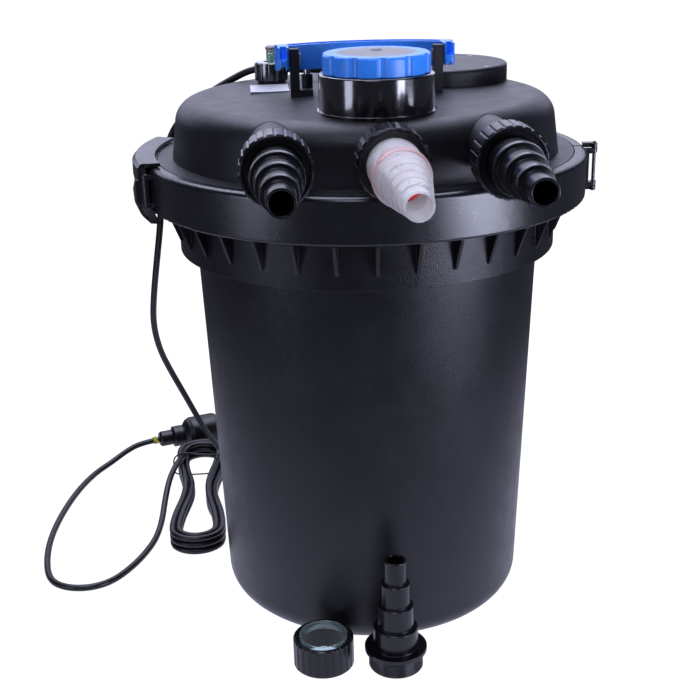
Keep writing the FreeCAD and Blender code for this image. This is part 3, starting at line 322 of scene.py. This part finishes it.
@dataclass(frozen=True)
class Metal:
    """Drawn or plated metal with fine lines."""

    name: str
    colour: tuple[float, float, float]
    roughness: float = 0.3
    stretch: Point = (1.0, 1.0, 0.05)
    line: float = 0.0006
    patch: float = 0.02
    edge_radius: float = 0.0004

    def build(self) -> bpy.types.Material:
        """Build the material.

        Returns:
            The material.
        """
        shader = ShaderTree(self.name)
        lines = shader.noise(shader.position(self.stretch), self.line, 2.0)
        broad = shader.noise(shader.position(), self.patch, 3.0)
        normal, edge = shader.rounded(self.edge_radius)
        tone = shader.mixed(shader.span(broad, (0.30, 0.70), (0.0, 1.0)), lighter(self.colour, 0.82),
                            lighter(self.colour, 1.05))
        # The edges are painted 1.3 times lighter, as a painted highlight.
        bright = shader.mixed(edge, tone, lighter(self.colour, 1.3))
        rough = shader.span(lines, (0.30, 0.70), (self.roughness - 0.08, self.roughness + 0.12))
        bump = shader.add("ShaderNodeBump", {"Strength": 0.15, "Distance": 0.0004, "Height": lines,
                                             "Normal": normal})
        body = shader.add("ShaderNodeBsdfPrincipled", {
            "Base Color": bright, "Roughness": rough, "Metallic": 1.0, "Normal": bump.outputs["Normal"]})
        return shader.surface(body.outputs["BSDF"])


@dataclass(frozen=True)
class OpenFoam:
    """Open-pored filter foam."""

    name: str
    colour: tuple[float, float, float]
    pore: float = 0.003

    def build(self) -> bpy.types.Material:
        """Build the material.

        Returns:
            The material.
        """
        shader = ShaderTree(self.name)
        place = shader.position()
        pores = shader.add("ShaderNodeTexVoronoi", {"Vector": place, "Scale": 1.0 / self.pore})
        depth = pores.outputs["Distance"]
        # The pores are painted darker, down to a quarter of the colour, as painted shade in their hollows;
        # the same distance sets the bump.
        tone = shader.mixed(shader.span(depth, (0.15, 0.55), (0.0, 1.0)), lighter(self.colour, 0.25),
                            lighter(self.colour, 1.15))
        bump = shader.add("ShaderNodeBump", {"Strength": 0.9, "Distance": self.pore * 0.5, "Height": depth})
        body = shader.add("ShaderNodeBsdfPrincipled", {
            "Base Color": tone, "Roughness": 0.95, "Normal": bump.outputs["Normal"],
            "Specular IOR Level": 0.2})
        return shader.surface(body.outputs["BSDF"])


Finish = MouldedPlastic | ClearPlastic | Metal | OpenFoam


@dataclass(frozen=True)
class Finishes:
    """Every finish of the filter."""

    tub: MouldedPlastic = MouldedPlastic(
        "tub_black", (0.0046, 0.0043, 0.0066), roughness=0.34, grain=0.0010, relief=0.30, variation=0.40,
        sheen_variation=0.045)
    lid: MouldedPlastic = MouldedPlastic(
        "lid_black", (0.0062, 0.0059, 0.0086), roughness=0.44, relief=0.26, variation=0.35,
        sheen_variation=0.05)
    ring: MouldedPlastic = MouldedPlastic(
        "clamp_black", (0.0052, 0.0049, 0.0072), roughness=0.28, grain=0.0008, relief=0.16, variation=0.35,
        sheen_variation=0.025, specular=0.75)
    neck: MouldedPlastic = MouldedPlastic(
        "gloss_black", (0.003, 0.003, 0.004), roughness=0.15, grain=0.0020, relief=0.02, variation=0.2,
        sheen_variation=0.02, edge_radius=0.0006, edge_light=2.0, coat=1.0, specular=1.0)
    fitting: MouldedPlastic = MouldedPlastic(
        "fitting_black", (0.0035, 0.0035, 0.0045), roughness=0.24, grain=0.0007, relief=0.06, variation=0.2,
        sheen_variation=0.05, edge_radius=0.0010, edge_light=7.0)
    knob: MouldedPlastic = MouldedPlastic(
        "knob_blue", (0.040, 0.280, 1.000), roughness=0.28, grain=0.0008, relief=0.04, variation=0.06,
        sheen_variation=0.04, edge_radius=0.0012, edge_light=1.25, specular=0.45)
    disc: MouldedPlastic = MouldedPlastic(
        "disc_grey", (0.230, 0.225, 0.235), grain=0.0007, relief=0.08, variation=0.12, edge_light=1.3,
        specular=0.3)
    board: MouldedPlastic = MouldedPlastic("board_green", (0.020, 0.160, 0.060))
    inner: MouldedPlastic = MouldedPlastic("inner_grey", (0.050, 0.050, 0.055), roughness=0.55)
    red: MouldedPlastic = MouldedPlastic("ring_red", (0.700, 0.030, 0.020), roughness=0.35, edge_light=1.2)
    green: MouldedPlastic = MouldedPlastic(
        "float_green", (0.010, 0.450, 0.230), roughness=0.35, edge_light=1.2)
    cap: MouldedPlastic = MouldedPlastic("cap_grey", (0.320, 0.320, 0.330), roughness=0.45, edge_light=1.2)
    seal: MouldedPlastic = MouldedPlastic(
        "seal_rubber", (0.006, 0.006, 0.006), roughness=0.75, edge_light=1.6)
    cord: MouldedPlastic = MouldedPlastic(
        "cord_black", (0.0035, 0.0034, 0.0045), roughness=0.34, grain=0.0006, relief=0.10, variation=0.3,
        sheen_variation=0.06, edge_radius=0.0004, edge_light=1.6)
    tie: MouldedPlastic = MouldedPlastic("tie_yellow", (0.560, 0.500, 0.030), roughness=0.4, edge_light=1.2)
    clear: ClearPlastic = ClearPlastic(
        "clear_plastic", (1.000, 0.980, 0.988), clearness=0.76, roughness=0.26)
    tube: ClearPlastic = ClearPlastic(
        "clear_tube", (0.900, 0.960, 0.940), clearness=0.90, roughness=0.04)
    liner: ClearPlastic = ClearPlastic(
        "clear_liner", (0.720, 0.930, 0.910), clearness=0.92, roughness=0.03)
    quartz: ClearPlastic = ClearPlastic(
        "quartz", (0.930, 0.960, 0.980), clearness=0.95, roughness=0.03, bend=1.46)
    steel: Metal = Metal("steel", (0.620, 0.620, 0.640))
    label: Metal = Metal("label_silver", (0.500, 0.500, 0.530), roughness=0.45, stretch=(1.0, 0.06, 1.0))
    coarse: OpenFoam = OpenFoam("foam_blue", (0.030, 0.120, 0.330), pore=0.0045)
    medium: OpenFoam = OpenFoam("foam_red", (0.420, 0.060, 0.050), pore=0.0035)
    fine: OpenFoam = OpenFoam("foam_yellow", (0.620, 0.470, 0.080), pore=0.0025)


FINISHES = Finishes()
BUILT: dict[str, bpy.types.Material] = {}


def material_of(finish: Finish) -> bpy.types.Material:
    """Build a finish once and give its material.

    Args:
        finish: One of the finishes.

    Returns:
        The material.
    """
    if finish.name not in BUILT:
        BUILT[finish.name] = finish.build()
    return BUILT[finish.name]


def dress(node: str, finish: Finish) -> None:
    """Give a CAD solid its finish.

    Args:
        node: The solid's name.
        finish: Its finish.
    """
    for place in NODES[node].material_slots:
        place.material = material_of(finish)


# ---- Mesh and curve building -----------------------------------------------------------------


def make_piece(name: str, mesh: bpy.types.ID, finish: Finish, body: Body,
               stands_for: Sequence[str] = ()) -> bpy.types.Object:
    """Make a finished piece from its mesh or curve.

    Args:
        name: The piece's name.
        mesh: The mesh or curve.
        finish: Its finish.
        body: The body it rides on.
        stands_for: The CAD solids it replaces.

    Returns:
        The new object.
    """
    piece = bpy.data.objects.new(name, mesh)
    bpy.context.scene.collection.objects.link(piece)
    mesh.materials.clear()
    mesh.materials.append(material_of(finish))
    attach(piece, body.value)
    if stands_for:
        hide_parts(*stands_for)
    LOG.info("made %s on %s", name, body.value)
    return piece


def tube_curve(name: str, points: Sequence[Point], radius: float, closed: bool = False) -> bpy.types.Curve:
    """Make a round tube along a smooth spline.

    Args:
        name: The curve's name.
        points: The control points.
        radius: The tube's radius.
        closed: Whether the spline is a closed loop.

    Returns:
        The curve.
    """
    curve = bpy.data.curves.new(name, "CURVE")
    curve.dimensions = "3D"
    curve.resolution_u = TUBE_SPANS
    curve.bevel_depth = radius
    curve.bevel_resolution = TUBE_RINGS
    curve.use_fill_caps = True
    spline = curve.splines.new("NURBS")
    spline.points.add(len(points) - 1)
    for knot, point in zip(spline.points, points):
        knot.co = (*point, 1.0)
    spline.order_u = 3
    if closed:
        spline.use_cyclic_u = True
    else:
        spline.use_endpoint_u = True
    return curve


def plain_mesh(holder: bpy.types.Object) -> bpy.types.Mesh:
    """Apply an object's modifiers and remove the object.

    Args:
        holder: The object that holds the modifiers.

    Returns:
        The finished mesh.
    """
    graph = bpy.context.evaluated_depsgraph_get()
    graph.update()
    mesh = bpy.data.meshes.new_from_object(holder.evaluated_get(graph))
    bpy.data.objects.remove(holder)
    return mesh


class GeometryTree(NodeBuilder):
    """Builds one Geometry Nodes tree and turns its result into a plain mesh."""

    def __init__(self, name: str, sizes: dict[str, float | int]) -> None:
        """Start a tree.

        Args:
            name: The tree's name.
            sizes: Its named inputs and their values.
        """
        super().__init__(bpy.data.node_groups.new(name, "GeometryNodeTree"))
        self.name = name
        self.sizes = sizes
        self.sockets: dict[str, str] = {}
        for key, value in sizes.items():
            kind = "NodeSocketInt" if isinstance(value, int) else "NodeSocketFloat"
            item = self.tree.interface.new_socket(name=key, in_out="INPUT", socket_type=kind)
            self.sockets[key] = item.identifier
        self.tree.interface.new_socket(name="Geometry", in_out="OUTPUT", socket_type="NodeSocketGeometry")
        self.inputs = self.add("NodeGroupInput")
        self.output = self.add("NodeGroupOutput")

    def size(self, key: str) -> bpy.types.NodeSocket:
        """Find a named input.

        Args:
            key: The input's name.

        Returns:
            The input's socket.
        """
        return self.inputs.outputs[key]

    def helix(self, steps: int, sides: int, start: Point | Vector,
              turn: Sequence[float] = (0.0, 0.0, 0.0)) -> bpy.types.NodeSocket:
        """Sweep a round ridge along a helix, sized by Radius, Turns, Height and Ridge.

        Args:
            steps: The points in one turn.
            sides: The points round the ridge.
            start: Where the helix starts.
            turn: How it is turned.

        Returns:
            The geometry's socket.
        """
        path = self.add("GeometryNodeCurveSpiral", {
            "Resolution": steps, "Rotations": self.size("Turns"), "Start Radius": self.size("Radius"),
            "End Radius": self.size("Radius"), "Height": self.size("Height")})
        profile = self.add("GeometryNodeCurvePrimitiveCircle", {
            "Resolution": sides, "Radius": self.size("Ridge")})
        sweep = self.add("GeometryNodeCurveToMesh", {
            "Curve": path.outputs[0], "Profile Curve": profile.outputs[0], "Fill Caps": True})
        return self.add("GeometryNodeTransform", {
            "Geometry": sweep.outputs[0], "Translation": start, "Rotation": turn}).outputs[0]

    def mesh(self, geometry: bpy.types.NodeSocket, finish: Finish) -> bpy.types.Mesh:
        """Realize the result and give it as a plain mesh.

        Args:
            geometry: The last geometry socket.
            finish: The piece's finish.

        Returns:
            The mesh.
        """
        real = self.add("GeometryNodeRealizeInstances", {0: geometry}).outputs[0]
        coated = self.add("GeometryNodeSetMaterial", {"Geometry": real})
        coated.inputs["Material"].default_value = material_of(finish)
        self.tree.links.new(coated.outputs[0], self.output.inputs[0])
        holder = bpy.data.objects.new(self.name, bpy.data.meshes.new(self.name))
        bpy.context.scene.collection.objects.link(holder)
        modifier = holder.modifiers.new("shape", "NODES")
        modifier.node_group = self.tree
        for key, value in self.sizes.items():
            modifier[self.sockets[key]] = value
        mesh = plain_mesh(holder)
        mesh.name = self.name
        return mesh


# ---- Sub-assemblies --------------------------------------------------------------------------


class SubAssembly:
    """A group of CAD solids, by finish, and the fine pieces that go with them."""

    coats: Sequence[tuple[Finish, Sequence[str]]] = ()

    def dress(self) -> None:
        """Give the group's solids their finishes."""
        for finish, nodes in self.coats:
            for node in nodes:
                dress(node, finish)

    def build(self) -> None:
        """Build the group's looks."""
        self.dress()


class Vessel(SubAssembly):
    """The tub, the lid and the clamp ring."""

    coats = (
        (FINISHES.lid, ("lid", "ballast_housing", "ballast_cover", "indicator_base", "guide_posts",
                        "rod_bushes", "port_left", "port_right", "port_middle")),
        (FINISHES.tub, ("tub",)),
        (FINISHES.ring, ("clamp_front", "clamp_rear", "latch_lever", "hinge_pin")),
        (FINISHES.steel, ("latch_pin", "post_clips", "pull_rods", "rod_nuts")),
        (FINISHES.seal, ("tub_seal", "tail_gaskets")),
    )


class Ports(SubAssembly):
    """The hose ports, their nuts and tails, and the loose spares."""

    coats = (
        (FINISHES.fitting, ("union_nut_left", "union_nut_middle", "union_nut_right", "hose_tail_left",
                            "hose_tail_right", "spare_hose_tail", "spare_union_nut", "cable_gland")),
        (FINISHES.clear, ("clear_tail",)),
        (FINISHES.liner, ("spare_nut_liner",)),
        (FINISHES.red, ("flow_ring",)),
    )
    thread_radius: float = 0.02375
    thread_height: float = 0.0145
    thread_turns: float = 6.5
    thread_start: Point = (0.0033, -0.177, 0.0012)
    thread_steps: int = 48
    ridge: float = 0.00115
    ridge_sides: int = 6
    ridge_sunk: float = 0.45

    def thread_mesh(self) -> bpy.types.Mesh:
        """Sweep the spare tail's thread along a helix.

        Returns:
            The thread's mesh.
        """
        tree = GeometryTree("spare_thread", {
            "Radius": self.thread_radius - self.ridge * self.ridge_sunk, "Height": self.thread_height,
            "Turns": self.thread_turns, "Ridge": self.ridge})
        return tree.mesh(tree.helix(self.thread_steps, self.ridge_sides, self.thread_start),
                         FINISHES.fitting)

    def build(self) -> None:
        """Build the ports' looks."""
        self.dress()
        make_piece("spare_thread", self.thread_mesh(), FINISHES.fitting, Body.SPARE_TAIL)


class Controls(SubAssembly):
    """The selector valve, the pump handle, the dirt indicator and the label."""

    coats = (
        (FINISHES.neck, ("valve_neck", "indicator_nut")),
        (FINISHES.knob, ("valve_knob", "handle")),
        (FINISHES.disc, ("knob_disc",)),
        (FINISHES.tube, ("indicator_tube",)),
        (FINISHES.cap, ("indicator_cap",)),
        (FINISHES.green, ("indicator_float",)),
        (FINISHES.label, ("label_plate",)),
    )


class Inside(SubAssembly):
    """The lamp, the plates and the foam inside the tub."""

    coats = (
        (FINISHES.inner, ("valve_rotor", "valve_spindle", "lamp_guard", "lamp_socket", "upper_grid",
                          "lift_plate", "inlet_tube")),
        (FINISHES.quartz, ("quartz_sleeve", "uv_lamp")),
        (FINISHES.board, ("ballast_board",)),
        (FINISHES.steel, ("cover_screws",)),
    )
    foam: Sequence[tuple[str, OpenFoam]] = (
        ("foam_coarse", FINISHES.coarse), ("foam_medium", FINISHES.medium), ("foam_fine", FINISHES.fine))
    foam_cell: float = 0.005
    foam_smoothing: int = 4
    foam_top: float = 0.354
    foam_keep: float = 0.73
    foam_fill: float = 0.9
    weld: float = 0.00001

    def foam_mesh(self, node: str) -> bpy.types.Mesh:
        """Make a foam disc with soft edges from its plain solid.

        Args:
            node: The solid's name.

        Returns:
            The disc's mesh.
        """
        form = bmesh.new()
        form.from_mesh(NODES[node].data)
        bmesh.ops.remove_doubles(form, verts=form.verts, dist=self.weld)
        mesh = bpy.data.meshes.new(node + "_form")
        form.to_mesh(mesh)
        form.free()
        holder = bpy.data.objects.new(node + "_form", mesh)
        bpy.context.scene.collection.objects.link(holder)
        remesh = holder.modifiers.new("cells", "REMESH")
        remesh.mode = "VOXEL"
        remesh.voxel_size = self.foam_cell
        soften = holder.modifiers.new("soften", "SMOOTH")
        soften.factor = 0.5
        soften.iterations = self.foam_smoothing
        return plain_mesh(holder)

    def build(self) -> None:
        """Build the inner looks."""
        self.dress()
        for node, finish in self.foam:
            disc = make_piece(node + "_disc", self.foam_mesh(node), finish, Body.FILTER,
                              (node,))
            for face in disc.data.polygons:
                face.use_smooth = True
            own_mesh(disc)


@dataclass
class MainsLead:
    """The mains cord: down from the lid, wound into a loose hank, and round to the plug.

    run_ys are the places of the knots along a straight run. sink, move_in and climb say where along
    the hank the cord sinks a layer, moves in to the inner turns, and climbs a layer.
    """

    diameter: float = 0.0068
    hank_x: float = -0.181
    front_y: float = 0.070
    rear_y: float = 0.264
    outer_radius: float = 0.0280
    inner_radius: float = 0.0209
    pinch: float = 0.012
    floor_level: float = 0.0052
    layer: float = 0.0073
    run_ys: Sequence[float] = (0.232, 0.206, 0.180, 0.154, 0.128, 0.102)
    sink: tuple[float, float] = (0.110, 0.205)
    move_in: tuple[float, float] = (0.085, 0.135)
    climb: tuple[float, float] = (0.225, 0.130)
    fold_knots: int = 5
    tie_radius: float = 0.0009
    wire_radius: float = 0.0007
    wire_turns: float = 3.0
    wire_height: float = 0.005
    wire_gap: float = 0.003
    wire_steps: int = 24
    wire_sides: int = 8
    lead: Sequence[Point] = (
        (-0.032, 0.092, 0.4955), (-0.048, 0.092, 0.4955), (-0.066, 0.098, 0.4965),
        (-0.085, 0.1075, 0.497), (-0.102, 0.1145, 0.494), (-0.119, 0.118, 0.4855),
        (-0.136, 0.119, 0.4765), (-0.152, 0.116, 0.466), (-0.166, 0.112, 0.454),
        (-0.1778, 0.108, 0.442), (-0.1855, 0.1075, 0.426), (-0.192, 0.109, 0.403),
        (-0.196, 0.112, 0.374), (-0.200, 0.117, 0.340), (-0.2065, 0.1275, 0.304),
        (-0.2145, 0.147, 0.259), (-0.2195, 0.166, 0.220), (-0.216, 0.183, 0.183),
        (-0.206, 0.198, 0.150), (-0.1947, 0.208, 0.120), (-0.184, 0.215, 0.092),
        (-0.1725, 0.222, 0.063), (-0.1605, 0.232, 0.039), (-0.1528, 0.249, 0.0255),
    )
    loop: Sequence[Point] = (
        (-0.2030, 0.247, 0.0226), (-0.2055, 0.227, 0.0274), (-0.2110, 0.203, 0.0290),
        (-0.2165, 0.177, 0.025), (-0.2205, 0.148, 0.014), (-0.2225, 0.117, 0.005),
        (-0.2265, 0.079, 0.0038), (-0.236, 0.047, 0.0038), (-0.248, 0.020, 0.0038),
        (-0.2653, -0.0065, 0.0038), (-0.2875, -0.0174, 0.0038), (-0.312, -0.0138, 0.0038),
        (-0.3302, 0.003, 0.0038), (-0.339, 0.042, 0.0038), (-0.342, 0.092, 0.0038),
        (-0.337, 0.149, 0.0038), (-0.326, 0.207, 0.0038), (-0.311, 0.251, 0.0038),
        (-0.293, 0.273, 0.007), (-0.2754, 0.2862, 0.015), (-0.2576, 0.2953, 0.0208),
        (-0.235, 0.3035, 0.0208),
    )
    tie_route: Sequence[Point] = (
        (-0.2145, 0.238, 0.0012), (-0.181, 0.238, 0.0012), (-0.1475, 0.238, 0.0012),
        (-0.1475, 0.238, 0.014), (-0.1475, 0.238, 0.0245), (-0.165, 0.238, 0.0258),
        (-0.185, 0.238, 0.0275), (-0.204, 0.238, 0.0312), (-0.2145, 0.238, 0.0245),
        (-0.2145, 0.238, 0.014),
    )

    def height(self, level: float) -> float:
        """Work out the height of a layer's middle above the floor.

        Args:
            level: The layer, counted from 0 at the floor.

        Returns:
            The height.
        """
        return self.floor_level + self.layer * level

    def fold(self, rear: bool, radius: float, level: float) -> list[Point]:
        """Give the points of one fold, anticlockwise as seen from above.

        Args:
            rear: Whether it is the rear fold.
            radius: The fold's radius.
            level: The layer it lies in.

        Returns:
            The control points.
        """
        middle = self.rear_y if rear else self.front_y
        half_step = math.pi / (2 * self.fold_knots)
        start = half_step if rear else math.pi + half_step
        reach = radius / math.cos(half_step)
        points = []
        for knot in range(self.fold_knots):
            angle = start + 2 * half_step * knot
            points.append((self.hank_x + reach * math.cos(angle), middle + reach * math.sin(angle),
                           self.height(level)))
        return points

    def run(self, side: int, radii: tuple[float, float], levels: tuple[float, float],
            change: tuple[float, float]) -> list[Point]:
        """Give the points of one straight run between the folds, drawn in at its waist.

        Args:
            side: -1 on the left, where the cord runs to the front, and 1 on the right.
            radii: The distance from the hank's middle before and after the change.
            levels: The layer before and after the change.
            change: Where along the hank the change starts and ends.

        Returns:
            The control points.
        """
        points = []
        for y in (self.run_ys if side < 0 else reversed(self.run_ys)):
            past = min(max((y - change[0]) / (change[1] - change[0]), 0.0), 1.0)
            share = past * past * (3 - 2 * past)
            along = (y - self.front_y) / (self.rear_y - self.front_y)
            waist = self.pinch * math.sin(math.pi * along) ** 2
            radius = radii[0] + (radii[1] - radii[0]) * share - waist
            level = levels[0] + (levels[1] - levels[0]) * share
            points.append((self.hank_x + side * radius, y, self.height(level)))
        return points

    def hank(self) -> list[Point]:
        """Wind the hank: three outer turns going down, then two and a half inner ones going up.

        Returns:
            The control points, from the lead's end to the loop's start.
        """
        outer, inner = self.outer_radius, self.inner_radius
        points: list[Point] = []
        for level in (2, 1, 0):
            points += self.fold(True, outer, level)
            points += self.run(-1, (outer, outer), (level, level), self.sink)
            points += self.fold(False, outer, level)
            if level:
                points += self.run(1, (outer, outer), (level, level - 1), self.sink)
            else:
                points += self.run(1, (outer, inner), (level, level), self.move_in)
        for level in (0, 1):
            points += self.fold(True, inner, level)
            points += self.run(-1, (inner, inner), (level, level + 1), self.climb)
            points += self.fold(False, inner, level + 1)
            points += self.run(1, (inner, inner), (level + 1, level + 1), self.climb)
        points += self.fold(True, inner, 2)
        return points

    def route(self) -> list[Point]:
        """Join the cord's lead, hank and loop.

        Returns:
            Every control point, from the gland to the plug.
        """
        return [*self.lead, *self.hank(), *self.loop]

    def build(self) -> None:
        """Build the cord and dress what is on it."""
        dress("plug_body", FINISHES.cord)
        dress("plug_pins", FINISHES.steel)
        curve = tube_curve("mains_cord", self.route(), self.diameter / 2)
        cord = make_piece("mains_cord", curve, FINISHES.cord, Body.FILTER,
                          ("cord_lead", "cord_loop", "cord_hank"))
        [NODES["plug_body"], NODES["plug_pins"]] + self.ties()

    def ties(self) -> list[bpy.types.Object]:
        """Make the black tie round the hank and the yellow wire at the plug.

        Returns:
            The tie and the wire.
        """
        tie = make_piece("hank_tie", tube_curve("hank_tie", self.tie_route, self.tie_radius, True),
                         FINISHES.cord, Body.FILTER)
        wire = make_piece("plug_wire", self.wire_mesh(), FINISHES.tie, Body.FILTER,
                          ("cord_ties",))
        return [tie, wire]

    def wire_mesh(self) -> bpy.types.Mesh:
        """Wind the wire round the cord next to the plug.

        Returns:
            The wire's mesh.
        """
        tree = GeometryTree("plug_wire", {
            "Radius": self.diameter / 2 + self.wire_radius, "Ridge": self.wire_radius,
            "Turns": self.wire_turns, "Height": self.wire_height})
        near, tip = Vector(self.loop[-2]), Vector(self.loop[-1])
        back = (near - tip).normalized()
        turn = back.to_track_quat("Z", "Y").to_euler()
        wound = tree.helix(self.wire_steps, self.wire_sides, tip + back * self.wire_gap, turn)
        return tree.mesh(wound, FINISHES.tie)


# ---- Studio ----------------------------------------------------------------------------------


@dataclass(frozen=True)
class Softbox:
    """One soft lamp: where it stands, the point it faces, its width and height, and its watts."""

    name: str
    at: Point
    aim: Point
    size: tuple[float, float]
    power: float

    def place(self, tint: Point) -> None:
        """Place the lamp.

        Args:
            tint: The colour of its light.
        """
        data = bpy.data.lights.new(self.name, "AREA")
        data.shape = "RECTANGLE"
        data.size, data.size_y = self.size
        data.energy = self.power
        data.color = tint
        lamp = bpy.data.objects.new(self.name, data)
        lamp.visible_camera = False
        bpy.context.scene.collection.objects.link(lamp)
        lamp.location = self.at
        facing = Vector(self.aim) - Vector(self.at)
        lamp.rotation_euler = facing.to_track_quat("-Z", "Y").to_euler()


@dataclass
class Studio:
    """The camera, the lights, the floor and the background.

    Mirror rays see the floor as a glow that fades from table_glow to table_dim between the distances
    table_near and table_far. lit_share is how much of the floor is plain white to the camera.
    """

    camera_at: Point = (-0.1065, -1.1056, 0.6448)
    pan: float = 0.080
    pitch: float = 0.351
    roll: float = -0.0222
    lens: float = 62.58
    sensor: float = 36.0
    far_limit: float = 60.0
    floor_radius: float = 14.0
    floor_sides: int = 64
    floor_colour: Colour = (0.92, 0.92, 0.93, 1.0)
    white: Colour = (1.0, 1.0, 1.0, 1.0)
    light_tint: Point = (0.74, 0.76, 1.0)
    surround_glow: float = 0.05
    backdrop_glow: float = 1.16
    lit_share: float = 0.88
    table_near: float = 0.25
    table_far: float = 0.80
    table_glow: float = 0.95
    table_dim: float = 0.10
    softboxes: Sequence[Softbox] = (
        Softbox("softbox_left", (-0.94, -0.62, 0.42), (0.0, 0.0, 0.45), (0.30, 0.42), 2.0),
        Softbox("softbox_right", (0.72, -0.92, 0.42), (0.0, 0.0, 0.45), (0.28, 0.46), 4.8),
        Softbox("softbox_low", (0.94, -0.72, 0.21), (0.0, 0.0, 0.40), (0.42, 0.22), 4.6),
        Softbox("softbox_front", (-0.35, -1.30, 1.55), (0.0, 0.0, 0.30), (0.70, 0.50), 6.0),
        Softbox("softbox_top", (-0.10, 0.40, 1.70), (0.0, 0.0, 0.30), (1.6, 1.5), 36.0),
        Softbox("softbox_back", (0.0, 1.45, 1.05), (0.0, 0.0, 0.45), (3.0, 1.1), 15.0),
    )

    def place_camera(self) -> None:
        """Place the camera."""
        data = bpy.data.cameras.new("camera")
        data.sensor_width = self.sensor
        data.lens = self.lens
        data.clip_end = self.far_limit
        camera = bpy.data.objects.new("camera", data)
        bpy.context.scene.collection.objects.link(camera)
        ahead = Vector((math.sin(self.pan) * math.cos(self.pitch),
                        math.cos(self.pan) * math.cos(self.pitch), -math.sin(self.pitch)))
        right = Vector((math.cos(self.pan), -math.sin(self.pan), 0.0))
        up = right.cross(ahead)
        turned_right = right * math.cos(self.roll) + up * math.sin(self.roll)
        turned_up = up * math.cos(self.roll) - right * math.sin(self.roll)
        placed = Matrix((turned_right, turned_up, -ahead)).transposed().to_4x4()
        placed.translation = Vector(self.camera_at)
        camera.matrix_world = placed
        bpy.context.scene.camera = camera

    def make_world(self) -> None:
        """Make the dim surroundings, which are white to the camera."""
        world = bpy.data.worlds.new("surroundings")
        world.use_nodes = True
        tree = NodeBuilder(world.node_tree)
        dim = tree.add("ShaderNodeBackground", {"Color": lighter(self.light_tint, 1.0),
                                                "Strength": self.surround_glow})
        bright = tree.add("ShaderNodeBackground", {"Color": self.white, "Strength": 1.0})
        mix = tree.add("ShaderNodeMixShader", {0: tree.seen_directly(), 1: dim.outputs[0],
                                               2: bright.outputs[0]})
        tree.add("ShaderNodeOutputWorld", {"Surface": mix.outputs[0]})
        bpy.context.scene.world = world

    def make_floor(self) -> None:
        """Lay the pale floor, which keeps the object's shadow."""
        mesh = bpy.data.meshes.new("floor")
        corners = []
        for side in range(self.floor_sides):
            angle = math.tau * side / self.floor_sides
            corners.append((self.floor_radius * math.cos(angle), self.floor_radius * math.sin(angle), 0.0))
        mesh.from_pydata(corners, [], [tuple(range(self.floor_sides))])
        shader = ShaderTree("floor_white")
        lit = shader.add("ShaderNodeBsdfDiffuse", {"Color": self.floor_colour})
        place = shader.add("ShaderNodeTexCoord").outputs["Object"]
        reach = shader.add("ShaderNodeVectorMath", {0: place}, operation="LENGTH").outputs["Value"]
        table = shader.span(reach, (self.table_near, self.table_far), (self.table_glow, self.table_dim))
        glossy = shader.add("ShaderNodeLightPath").outputs["Is Glossy Ray"]
        strength = shader.maths("MULTIPLY_ADD", shader.maths("SUBTRACT", 1.0, glossy), self.backdrop_glow,
                                shader.maths("MULTIPLY", table, glossy))
        hue = shader.mixed(glossy, self.white, lighter(self.light_tint, 1.0))
        glow = shader.add("ShaderNodeEmission", {"Color": hue, "Strength": strength})
        plain = shader.maths("MULTIPLY", shader.seen_directly(), self.lit_share)
        share = shader.maths("MAXIMUM", plain, glossy)
        mix = shader.add("ShaderNodeMixShader", {0: share, 1: lit.outputs[0], 2: glow.outputs[0]})
        mesh.materials.append(shader.surface(mix.outputs[0]))
        floor = bpy.data.objects.new("floor", mesh)
        bpy.context.scene.collection.objects.link(floor)

    def build(self) -> None:
        """Build the whole studio."""
        self.place_camera()
        for softbox in self.softboxes:
            softbox.place(self.light_tint)
        self.make_world()
        self.make_floor()
        bpy.context.scene.view_settings.view_transform = "Standard"


def main() -> None:
    """Build the studio and every sub-assembly."""
    logging.basicConfig(level=logging.INFO, format="%(message)s")
    Studio().build()
    for assembly in (MainsLead(), Vessel(), Ports(), Controls(), Inside()):
        assembly.build()
        LOG.info("built %s", type(assembly).__name__)


if __name__ == "__main__":
    main()
